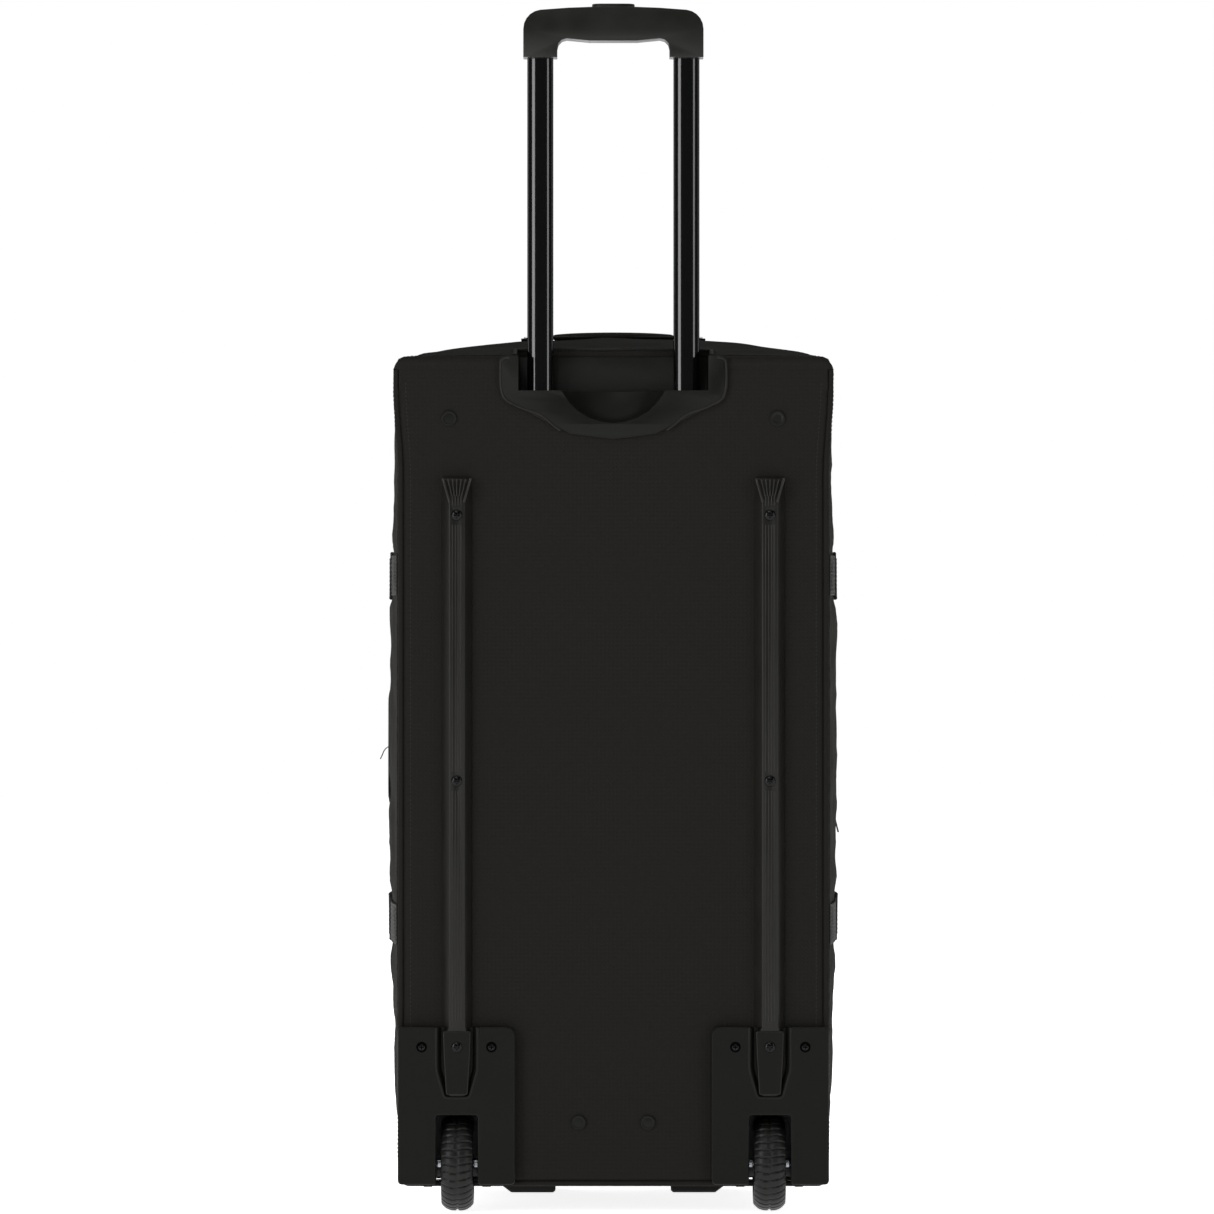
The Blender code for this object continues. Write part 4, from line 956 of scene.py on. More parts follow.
@dataclass
class BackPanel:
    """The flat cloth panel over its board, corded at both edges and cut for the cup and wheels."""

    face: float = -0.165
    half_wide: float = 0.1967
    low: float = 0.030
    high: float = 0.7977
    corner: float = 0.007
    cord: float = 2.6 * MM
    cell: float = 3.0 * MM
    wheel_x: float = 0.1466
    wheel_gap: float = 0.0246
    wheel_top: float = 0.099
    seam_in: float = 6.5 * MM
    roll: tuple[tuple[float, float], ...] = (
        (0.0018, 0.0003), (0.0034, 0.0011), (0.0046, 0.0024), (0.0053, 0.0041), (0.0056, 0.0062),
        (0.0056, 0.0110)
    )

    def opened(self, spot: Vector) -> bool:
        """Tell whether a spot lies where the cloth is cut away."""
        x, z = abs(spot.x), spot.z
        well = abs(x - self.wheel_x) < self.wheel_gap and z < self.wheel_top
        recess = x < 0.0945 and z > 0.766
        scoop = math.hypot(spot.x, z - 0.794) < 0.0585
        return well or recess or scoop

    def dip(self, x: float, z: float) -> float:
        """Give how far the cloth lies behind its flat face.

        Args:
            x: sideways place.
            z: height.

        Returns:
            The dip in metres.
        """
        edge = min(self.half_wide - abs(x), self.high - z, z - self.low)
        side_edge = min(self.half_wide - abs(x) + 0.02 * ease((z - 0.775) / 0.012), z - self.low)
        rolled = 1.7 * MM * (1 - ease(side_edge / (5.0 * MM))) ** 2
        seam = 0.45 * MM * hump(edge, self.seam_in, 2.6 * MM)
        pucker = 0.16 * MM * (1 + math.sin(z * TAU / 0.011 + 3 * cluster(Vector((x, 0, z)), 0.03,
            4))) * hump(
            edge, self.seam_in, 9 * MM
        )
        calm = ease((edge - 8 * MM) / 0.03) * ease((abs(abs(x) - self.wheel_x) - 0.014) / 0.02)
        spot = Vector((x, 0.0, z))
        slack = (0.55 * MM + 0.5 * MM * cluster(spot, 0.09, 1.0) + 0.2 * MM * cluster(spot, 0.03,
            2.0)) * calm
        arch = abs(math.hypot(x / 0.064, (z - 0.0848) / 0.027) - 1) * 0.03
        pressed = 0.5 * MM * ease(1 - arch / (2.4 * MM)) * ease((z - 0.084) / 0.006)
        return rolled + seam + pucker + slack + pressed

    def at(self, x: float, z: float, lift: float = 0.0) -> Vector:
        """Give the point of the cloth's face at one spot."""
        shift = FORM.flared(z) * ease((abs(x) - 0.12) / (self.half_wide - 0.12))
        return Vector((x + math.copysign(shift, x), self.face + self.dip(x, z) - lift, z))

    def cloth(self) -> Piece:
        """Build the panel's cloth.

        Returns:
            The panel.
        """
        cuts = sorted(
            {-self.half_wide, self.half_wide}
            | {s * (self.wheel_x + d) for s in (-1, 1) for d in (-self.wheel_gap, self.wheel_gap)}
        )
        across = sorted({round(v, 6) for a, b in zip(cuts, cuts[1:])
                         for v in span(a, b, self.cell)})
        upward = sorted(
            {round(v, 6) for a, b in ((self.low, self.wheel_top), (self.wheel_top, self.high))
             for v in span(a, b, self.cell)}
        )
        rows = []
        for z in upward:
            row = []
            for x in across:
                over = max(0.0, abs(x) - (self.half_wide - self.corner)) / self.corner
                drop = self.corner * (1 - math.sqrt(max(0.0, 1 - over * over)))
                point = self.at(x, z)
                point.z -= drop * ease((z - 0.70) / (self.high - 0.70))
                point.z += drop * (1 - ease((z - self.low) / 0.05))
                row.append(point)
            rows.append(row)
        top = rows[-1]
        for out, back in self.roll:
            row = []
            for x, point in zip(across, top):
                over = clamp((abs(x) - (self.half_wide - self.corner)) / self.corner)
                away = Vector((math.copysign(over, x), 0, math.sqrt(1 - over * over)))
                row.append(Vector((point.x, self.face + back, point.z)) + away * out)
            rows.append(row)
        draft = Draft()
        draft.grid(rows, keep=lambda spot: not self.opened(spot))
        piece = draft.finish("panel_cloth", [Kit.panel])
        add_modifier(piece, "SOLIDIFY", thickness=0.9 * MM, offset=-1.0)
        return piece

    def seam(self) -> Piece:
        """Sew the row of stitches down each side that holds the panel to its cording."""
        draft = Draft()
        normal = Vector((0, -1, 0))
        wide = self.half_wide - self.seam_in
        top, low = self.high - self.seam_in, self.low + self.seam_in
        for s in (-1, 1):
            side = [(self.at(s * wide, z, 0.1 * MM), normal)
                    for z in span(low, top - 0.012, 4 * MM)]
            draft.stitches(side)
        return draft.finish("panel_seam_thread", [Kit.thread])

    def cording(self, side: Side) -> Piece:
        """Sew the corded edge: down the side, round the low corner and along the bottom.

        Args:
            side: which half.

        Returns:
            The cording.
        """
        turn, out = 0.008, self.half_wide + self.cord
        y, low = self.face + self.cord, self.low - self.cord
        line = []
        for z in span(low + turn, 0.790, 6 * MM)[::-1]:
            line.append((side.value * (out + FORM.flared(z)), z))
        for k in range(1, 8):
            a = math.pi / 2 * k / 8
            line.append((side.value * (out - turn + turn * math.cos(a)),
                         low + turn - turn * math.sin(a)))
        line += [(side.value * x, low) for x in span(0.0, out - turn, 8 * MM)[::-1]]
        draft = Draft()
        draft.sweep([(Vector((x, y, z)), Vector((0, -1, 0))) for x, z in line],
                    ellipse(self.cord, self.cord, 10))
        return draft.finish(f"panel_cording_{side.word}", [Kit.panel])

    def build(self) -> None:
        """Build and mount the panel, its seam and its cording."""
        mount(self.cloth(), "bag", "bag_fabric", "back_panel")
        mount(self.seam(), "bag", "bag_fabric")
        for side in Side:
            mount(self.cording(side), "bag", "bag_fabric", f"back_piping_{side.word}")
        dress_node("back_stiffener", Kit.board)


@dataclass
class SkidRails:
    """The two long moulded rails: crest grooves, flared heads with ribs, and their tongues."""

    rail_x: float = 0.1466
    crest_y: float = -0.1763
    tongue_y: float = -0.1749
    low: float = 0.1105
    high: float = 0.6893
    groove_gap: float = 2.7 * MM
    rib_sink: float = 0.2 * MM
    screws: tuple[float, ...] = (0.156, 0.405, 0.654)

    def crest_lines(self, side: Side) -> Piece:
        """Raise fine ribs along the crest, stopping short of each screw.

        Args:
            side: which rail.

        Returns:
            The ribs.
        """
        draft, normal = Draft(), Vector((0, -1, 0))
        x0 = side.value * self.rail_x
        stops = [0.1805, *[v for z in self.screws[1:] for v in (z - 9 * MM, z + 9 * MM)], 0.672]
        for low, high in zip(stops[::2], stops[1::2]):
            for k in (-1.5, -0.5, 0.5, 1.5):
                rail = [(Vector((x0 + k * self.groove_gap, self.crest_y, z)), normal)
                        for z in span(low, high, 0.05)]
                draft.sweep(rail, ellipse(0.62 * MM, 0.38 * MM, 6))
        return draft.finish(f"rail_crest_ribs_{side.word}", [Kit.rail])

    def head_ribs(self, side: Side) -> Piece:
        """Raise the V of ridges and the short ribs on the rail's flared head.

        Args:
            side: which rail.

        Returns:
            The ribs.
        """
        draft, normal = Draft(), Vector((0, -1, 0))
        x0 = side.value * self.rail_x
        lines = [((-13.0, 688.3), (-6.6, 666.0)), ((13.0, 688.3), (6.6, 666.0))]
        lines += [((x, 687.6), (x * 0.55, 672.0)) for x in (-8.2, -4.1, 0.0, 4.1, 8.2)]
        for k, (a, b) in enumerate(lines):
            size = 1.35 * MM if k < 2 else 0.7 * MM
            rail = []
            for i in range(5):
                t = i / 4
                x = a[0] + (b[0] - a[0]) * t
                z = (a[1] + (b[1] - a[1]) * t) * MM
                rail.append((Vector((x0 + x * MM, self.crest_y + self.rib_sink, z)), normal))
            draft.sweep(rail, ellipse(size, size * 0.8, 8))
        return draft.finish(f"rail_head_ribs_{side.word}", [Kit.rail])

    def tongue(self, side: Side) -> Piece:
        """Widen the rail's low end into the flat tongue that fills the housing's pocket.

        Args:
            side: which rail.

        Returns:
            The tongue's plate.
        """
        corners = [(-10.3, 110.9, 2.8), (10.3, 110.9, 2.8), (12.5, 149.0, 8.0), (13.2, 171.0, 2.4),
                   (-13.2, 171.0, 2.4), (-12.5, 149.0, 8.0)]
        outline = rounded(corners)
        steps = [(1.2, 0.0), (1.0, 0.0), (0.5, 0.12), (0.12, 0.5), (0.0, 1.0), (0.0, 8.0)]
        rows = [[Vector((side.value * self.rail_x + x * MM, self.tongue_y + back * MM, z * MM))
                 for x, z in shrink(outline, inset)] for inset, back in steps]
        draft = Draft()
        draft.grid(rows[::-1], ring=True)
        draft.lid(rows[0], slot=1)
        return draft.finish(f"rail_tongue_{side.word}", [Kit.rail, Kit.face])

    def build(self) -> None:
        """Dress both rails and mount their ribs."""
        for side in Side:
            dress_node(f"skid_rail_{side.word}", Kit.rail, bevel=0.7 * MM)
            mount(self.crest_lines(side), "bag", "moulded_plastic")
            mount(self.head_ribs(side), "bag", "moulded_plastic")
            mount(self.tongue(side), "bag", "moulded_plastic")


@dataclass
class Fasteners:
    """Domed screws with cross drives, and rivets with rolled rims."""

    rings: int = 14
    turns: int = 48
    screw_rise: float = 2.2 * MM
    rivet_rise: float = 1.5 * MM

    def head(self, draft: Draft, centre: Place, radius: float, rise: float, drive: float,
             rim: float = 0.0,
             hole: float = 0.0) -> None:
        """Turn one head that faces -Y.

        Args:
            draft: the mesh it goes in.
            centre: the middle of its seat.
            radius: its radius.
            rise: its dome's height.
            drive: half the length of its cross drive, or 0.
            rim: the height of a rolled rim, or 0.
            hole: the radius of a sunk middle, or 0.
        """
        rows = []
        for j in range(self.rings + 1):
            r = radius * j / self.rings
            row = []
            for i in range(self.turns):
                a = TAU * i / self.turns
                x, z = r * math.cos(a), r * math.sin(a)
                out = rise * math.sqrt(max(0.0, 1 - (j / self.rings) ** 2 * 0.97))
                out += rim * hump(r, radius * 0.86, radius * 0.2)
                if drive:
                    slim = drive * 0.24
                    inside = (abs(x) < slim and abs(z) < drive) or (abs(z) < slim
                        and abs(x) < drive)
                    out -= rise * 0.62 if inside else 0.0
                if hole:
                    out -= rise * 0.8 * (1 - ease((r - hole * 0.8) / (hole * 0.3)))
                row.append(Vector((centre[0] + x, centre[1] - out, centre[2] + z)))
            rows.append(row)
        rows.append([Vector((p.x, centre[1], p.z)) for p in rows[-1]])
        draft.grid(rows[::-1], ring=True)

    def screw_like(self, node: str, drive: float, rim: float = 0.0, hole: float = 0.0) -> Piece:
        """Build a head where a CAD head is.

        Args:
            node: the CAD node.
            drive: half the cross drive's length.
            rim: a rolled rim's height.
            hole: a sunk middle's radius.

        Returns:
            The head.
        """
        low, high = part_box(node)
        radius = (high.x - low.x) / 2
        draft = Draft()
        rise = self.rivet_rise if rim else self.screw_rise
        centre = ((low.x + high.x) / 2, low.y + rise, (low.z + high.z) / 2)
        self.head(draft, centre, radius, rise - rim, drive, rim, hole)
        return draft.finish(f"{node}_head", [Kit.painted if rim else Kit.blacked])

    def build(self) -> None:
        """Build every screw and rivet head."""
        for side in Side:
            for k in (1, 2, 3):
                node = f"rail_screw_{side.word}_{k}"
                mount(self.screw_like(node, 2.6 * MM), "bag", "dark_steel", node)
            upper, lower = f"rivet_upper_{side.word}", f"rivet_lower_{side.word}"
            hole = 4.4 * MM if side is Side.RIGHT else 0.0
            mount(self.screw_like(upper, 0.0, 0.5 * MM, hole), "bag", "dark_steel", upper)
            mount(self.screw_like(lower, 0.0, 0.5 * MM), "bag", "dark_steel", lower)


@dataclass
class HandleCup:
    """The moulded cup that the trolley sinks into, with its raised lip lines."""

    face: float = -0.1686

    def lip(self) -> Piece:
        """Raise the curved ridge that frames the finger scoop.

        Returns:
            The ridge.
        """
        draft, normal = Draft(), Vector((0, -1, 0))
        for s in (-1, 1):
            rim = [(97.5, 801.6), (101.0, 801.6), (104.4, 800.2), (105.9, 797.0), (105.9, 776.0),
                   (103.4, 765.5),
                   (98.6, 760.6), (88.5, 755.4), (80.0, 752.4), (70.0, 749.4), (63.0, 744.8),
                   (57.0, 738.6),
                   (50.0, 733.8)]
            edge = [(Vector((s * x * MM, self.face, z * MM)), normal) for x, z in soften(rim)]
            draft.sweep(resample(edge, 2.0 * MM), ellipse(0.95 * MM, 0.7 * MM, 8))
        return draft.finish("cup_lip_ridge", [Kit.rail])

    def build(self) -> None:
        """Dress the cup and its brackets and mount the ridge."""
        dress_node("handle_cup", Kit.plastic, bevel=0.9 * MM)
        mount(self.lip(), "bag", "moulded_plastic")
        for side in Side:
            dress_node(f"upper_bracket_{side.word}", Kit.plastic, bevel=0.3 * MM)
        dress_node("lower_bracket", Kit.plastic, bevel=0.3 * MM)


@dataclass
class Trolley:
    """The telescopic handle: enamelled tubes, moulded grip, push button and the lock inside."""

    wall: float = 1.2 * MM
    sides: int = 72

    def tube(self, side: Side) -> Piece:
        """Draw one oval tube of the sliding stage, open inside.

        Args:
            side: which tube.

        Returns:
            The tube.
        """
        low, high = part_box(f"inner_tube_{side.word}")
        middle = (low + high) / 2
        half_x, half_y = (high.x - low.x) / 2, (high.y - low.y) / 2
        rings = [(low.z, 0.3 * MM), (low.z + 0.3 * MM, 0.0),
                 *[(z, 0.0) for z in span(low.z + 0.01, high.z - 0.01, 0.06)],
                 (high.z, 0.0), (high.z, self.wall), (low.z, self.wall)]
        rows = []
        for z, inset in rings:
            rows.append([Vector((middle.x + (half_x - inset) * math.cos(TAU * i / self.sides),
                                 middle.y + (half_y - inset) * math.sin(TAU * i / self.sides), z))
                         for i in range(self.sides)])
        draft = Draft()
        draft.grid(rows, ring=True, loop=True)
        piece = draft.finish(f"trolley_tube_{side.word}", [Kit.enamel])
        add_modifier(piece, "EDGE_SPLIT", split_angle=math.radians(40))
        return piece

    def build(self) -> None:
        """Dress the tubes, grip, button and lock."""
        for side in Side:
            mount(self.tube(side), "handle", "black_tube", f"inner_tube_{side.word}")
            dress_node(f"outer_tube_{side.word}", Kit.mill, angle=40)
            dress_node(f"guide_plug_{side.word}", Kit.hub)
            dress_node(f"lock_pin_{side.word}", Kit.zinc)
            dress_node(f"push_rod_{side.word}", Kit.zinc)
        dress_node("grip", Kit.grip, bevel=1.2 * MM)
        dress_node("grip_button", Kit.grip, bevel=0.6 * MM)
        dress_node("release_bar", Kit.hub)
        dress_node("button_spring", Kit.zinc)


@dataclass
class Housings:
    """The wheel housings with their screws, each on a disc of painted shade that makes it look sunk.
    """

    face: float = -0.1743
    well_end: float = -0.088
    rail_x: float = 0.1466
    screw_x: tuple[float, float] = (0.1142, 0.1796)
    screw_z: float = 0.156
    radius: float = 5.0 * MM

    def screws(self, side: Side) -> Piece:
        """Set two dark screws beside the rail's end, each on a disc of painted shade that makes it
        look sunk.

        Args:
            side: which housing.

        Returns:
            Both screws with their discs of painted counterbore shade.
        """
        draft = Draft()
        for x in self.screw_x:
            centre = (side.value * x, self.face + 0.1 * MM, self.screw_z)
            Fasteners().head(draft, centre, self.radius * 0.72, 0.5 * MM, 2.2 * MM)
            # A flat near-black disc just in front of the face: painted shade of a counterbore.
            draft.lid([Vector((centre[0] + self.radius * math.cos(TAU * i / 32),
                               self.face - 0.15 * MM,
                               centre[2] + self.radius * math.sin(TAU * i / 32)))
                               for i in range(32)], slot=1)
        return draft.finish(f"housing_screws_{side.word}", [Kit.blacked, Kit.painted_counterbore_shade])

    def plate(self, side: Side) -> Piece:
        """Mould the face plate with its rounded edges and the well behind it.

        Args:
            side: which housing.

        Returns:
            The housing.
        """
        corners = [(92.0, 27.0, 5.0), (127.1, 27.0, 2.6), (127.1, 92.0, 3.0), (166.1, 92.0, 3.0),
                   (166.1, 27.0, 2.6), (202.0, 27.0, 4.5), (202.0, 175.0, 6.0),
                   (165.6, 175.0, 4.2),
                   (165.6, 133.6, 7.0), (157.95, 109.1, 3.5), (135.25, 109.1, 3.5),
                   (127.6, 133.6, 7.0),
                   (127.6, 175.0, 4.2), (92.0, 175.0, 9.5)]
        outline = rounded(corners)
        well = [(125.85, 27.2), (125.85, 93.0), (167.35, 93.0), (167.35, 27.2), (170.35, 27.2),
                (170.35, 96.0),
                (122.85, 96.0), (122.85, 27.2)]
        draft = Draft()

        def ring(points: Sequence[tuple[float, float]], y: float) -> list[Vector]:
            """Set an outline at one depth, mirrored for the left side."""
            row = [Vector((side.value * x * MM, y, z * MM)) for x, z in points]
            return row if side is Side.RIGHT else row[::-1]

        steps = [(1.4, 0.0), (1.2, 0.0), (0.85, 0.08), (0.5, 0.28), (0.2, 0.65), (0.05, 1.1),
                 (0.0, 1.7), (0.0, 9.0)]
        rows = [ring(shrink(outline, inset), self.face + back * MM) for inset, back in steps]
        draft.grid(rows[::-1], ring=True)
        draft.lid(rows[0], slot=1)
        draft.lid(rows[-1], flip=True)
        walls = [ring(well[::-1], y) for y in (self.face + 3 * MM, self.well_end)]
        draft.grid(walls, ring=True)
        block = [ring([(122.85, 27.2), (170.35, 27.2), (170.35, 96.0), (122.85, 96.0)], y)
                 for y in (self.well_end, self.well_end + 3 * MM)]
        draft.grid(block[::-1], ring=True)
        draft.lid(block[0])
        draft.lid(block[1], flip=True)
        piece = draft.finish(f"housing_plate_{side.word}", [Kit.plastic, Kit.face])
        add_modifier(piece, "EDGE_SPLIT", split_angle=math.radians(35))
        return piece

    def seat(self, side: Side) -> Piece:
        """Mould the sloped lip and floor of the pocket that holds the rail's end.

        Args:
            side: which housing.

        Returns:
            The lip.
        """
        half = [(19.0, 174.2), (19.0, 160.0), (19.0, 146.0), (18.9, 137.0), (18.3, 132.5),
                (17.0, 128.0), (15.2, 121.6),
                (13.2, 114.6), (12.2, 111.2), (10.6, 109.2), (8.4, 108.6), (4.0, 108.5)]
        line = half + [(-x, z) for x, z in half[::-1]]
        rows = []
        for grow, y in ((1.6, -0.17425), (0.9, -0.1748), (0.2, -0.1750), (-0.6, -0.1746),
                        (-2.2, -0.1708),
                        (-3.7, -0.1672), (-4.4, -0.1667)):
            row = []
            for i, (x, z) in enumerate(line):
                (ax, az), (bx, bz) = line[max(i - 1, 0)], line[min(i + 1, len(line) - 1)]
                along = Vector((bx - ax, 0, bz - az)).normalized()
                away = Vector((-along.z, 0, along.x)) * -1
                spot = Vector((x, 0, z)) + Vector((away.x, 0, away.z)) * -grow
                row.append(Vector((side.value * self.rail_x + spot.x * MM, y,
                                   min(spot.z, 174.6) * MM)))
            rows.append(row)
        floor = [[p.copy() for p in rows[-1][: len(half)]],
                 [p.copy() for p in rows[-1][: len(half) - 1 : -1]]]
        draft = Draft()
        draft.grid(rows[::-1])
        draft.grid(floor[::-1])
        return draft.finish(f"rail_seat_lip_{side.word}", [Kit.plastic])

    def build(self) -> None:
        """Dress both housings and feet."""
        for side in Side:
            mount(self.plate(side), "bag", "moulded_plastic", f"wheel_housing_{side.word}")
            mount(self.seat(side), "bag", "moulded_plastic")
            mount(self.screws(side), "bag", "dark_steel")
            dress_node(f"foot_{side.word}", Kit.plastic, bevel=0.8 * MM)


@dataclass
class Wheels:
    """Cast treads with curved cross grooves, moulded hubs and steel axles."""

    centre_x: float = 0.1466
    centre_y: float = -0.138
    centre_z: float = 0.045
    radius: float = 0.045
    hub_radius: float = 0.0327
    width: float = 0.030
    grooves: int = 38
    groove_depth: float = 1.9 * MM
    turns: int = 380
    across: int = 26

    def tread(self, side: Side) -> Piece:
        """Cast one tyre with its grooved tread.

        Args:
            side: which wheel.

        Returns:
            The tyre.
        """
        middle = side.value * self.centre_x
        rows = []
        for i in range(self.turns):
            turn = TAU * i / self.turns
            row = []
            for j in range(self.across + 1):
                t = 2 * j / self.across - 1
                u = math.copysign(abs(t) ** 0.8, t)
                crown = self.radius - 0.0065 * abs(u) ** 3.2
                share = abs(u)
                phase = self.grooves * turn + (0.9 if u > 0 else 0.0) + 2.3 * share**1.5
                cut = ease((math.cos(phase) - 0.76) / 0.2) * ease((share - 0.05)
                    / 0.1) * ease((0.98 - share) / 0.12)
                split = hump(u, 0.0, 0.09)
                r = crown - self.groove_depth * max(cut, 0.8 * split)
                row.append(Vector((middle + u * self.width / 2, self.centre_y + r * math.cos(turn),
                                   self.centre_z + r * math.sin(turn))))
            for s, inner in ((1, 0.0), (1, 0.35), (1, 1.0), (-1, 1.0), (-1, 0.35), (-1, 0.0)):
                wall = self.radius - 0.0065
                r = wall + (self.hub_radius + 0.2 * MM - wall) * inner
                x = middle + s * (self.width / 2 - (0.6 * MM if inner == 0.35 else 0.0))
                if inner == 0.0:
                    continue
                row.append(Vector((x, self.centre_y + r * math.cos(turn),
                                   self.centre_z + r * math.sin(turn))))
            rows.append(row)
        draft = Draft()
        draft.grid(rows[::-1], ring=True, loop=True)
        return draft.finish(f"tread_{side.word}", [Kit.tread])

    def washers(self, side: Side) -> Piece:
        """Turn the two plated spacers that keep the wheel off its well's walls.

        Args:
            side: which wheel.

        Returns:
            Both spacers.
        """
        draft = Draft()
        for s in (-1, 1):
            rows = []
            for away, radius in ((0.4, 3.05), (0.4, 3.9), (0.9, 4.3), (3.6, 4.3), (4.1, 3.9),
                                 (4.1, 3.05)):
                x = side.value * self.centre_x + s * (self.width / 2 + away * MM)
                rows.append([Vector((x, self.centre_y + radius * MM * math.cos(TAU * i / 24),
                                     self.centre_z + radius * MM * math.sin(TAU * i / 24)))
                                     for i in range(24)])
            draft.grid(rows if s > 0 else rows[::-1], ring=True)
        piece = draft.finish(f"axle_spacers_{side.word}", [Kit.zinc])
        add_modifier(piece, "EDGE_SPLIT", split_angle=math.radians(30))
        return piece

    def build(self) -> None:
        """Build the treads and dress hubs and axles."""
        for side in Side:
            mount(self.washers(side), "bag", "steel")
            mount(self.tread(side), f"wheel_{side.word}", "tyre", f"tyre_{side.word}")
            dress_node(f"hub_{side.word}", Kit.hub, bevel=0.4 * MM)
            dress_node(f"axle_{side.word}", Kit.zinc, bevel=0.3 * MM)


# --------------------------------------------------------------------------------------------
# Soft goods
# --------------------------------------------------------------------------------------------


def inflate(piece: Piece, voxel: float, pressure: float, cap: float, frames: int = 20) -> None:
    """Swell a closed soft piece as cloth under light pressure, then keep the result.

    Args:
        piece: the closed mesh.
        voxel: the remesh size in metres.
        pressure: the cloth's inner pressure.
        cap: the furthest that a point may move, in metres.
        frames: how many frames to run.
    """
    scene = bpy.context.scene
    bpy.context.view_layer.objects.active = piece
    remesh = add_modifier(piece, "REMESH", mode="VOXEL", voxel_size=voxel, use_smooth_shade=True)
    bpy.ops.object.modifier_apply(modifier=remesh.name)
    start = [v.co.copy() for v in piece.data.vertices]
    cloth = piece.modifiers.new("Cloth", "CLOTH")
    cloth.settings.use_pressure = True
    cloth.settings.uniform_pressure_force = pressure
    cloth.settings.quality = 5
    cloth.settings.mass = 0.3
    cloth.settings.effector_weights.gravity = 0.0
    cloth.point_cache.frame_start, cloth.point_cache.frame_end = 1, frames
    for number in range(1, frames + 1):
        scene.frame_set(number)
    shaped = piece.evaluated_get(bpy.context.evaluated_depsgraph_get()).to_mesh()
    moved = [v.co.copy() for v in shaped.vertices]
    piece.modifiers.remove(cloth)
    for vertex, before, after in zip(piece.data.vertices, start, moved):
        shift = after - before
        if shift.length > cap:
            shift *= cap / shift.length
        vertex.co = before + shift
    scene.frame_set(1)


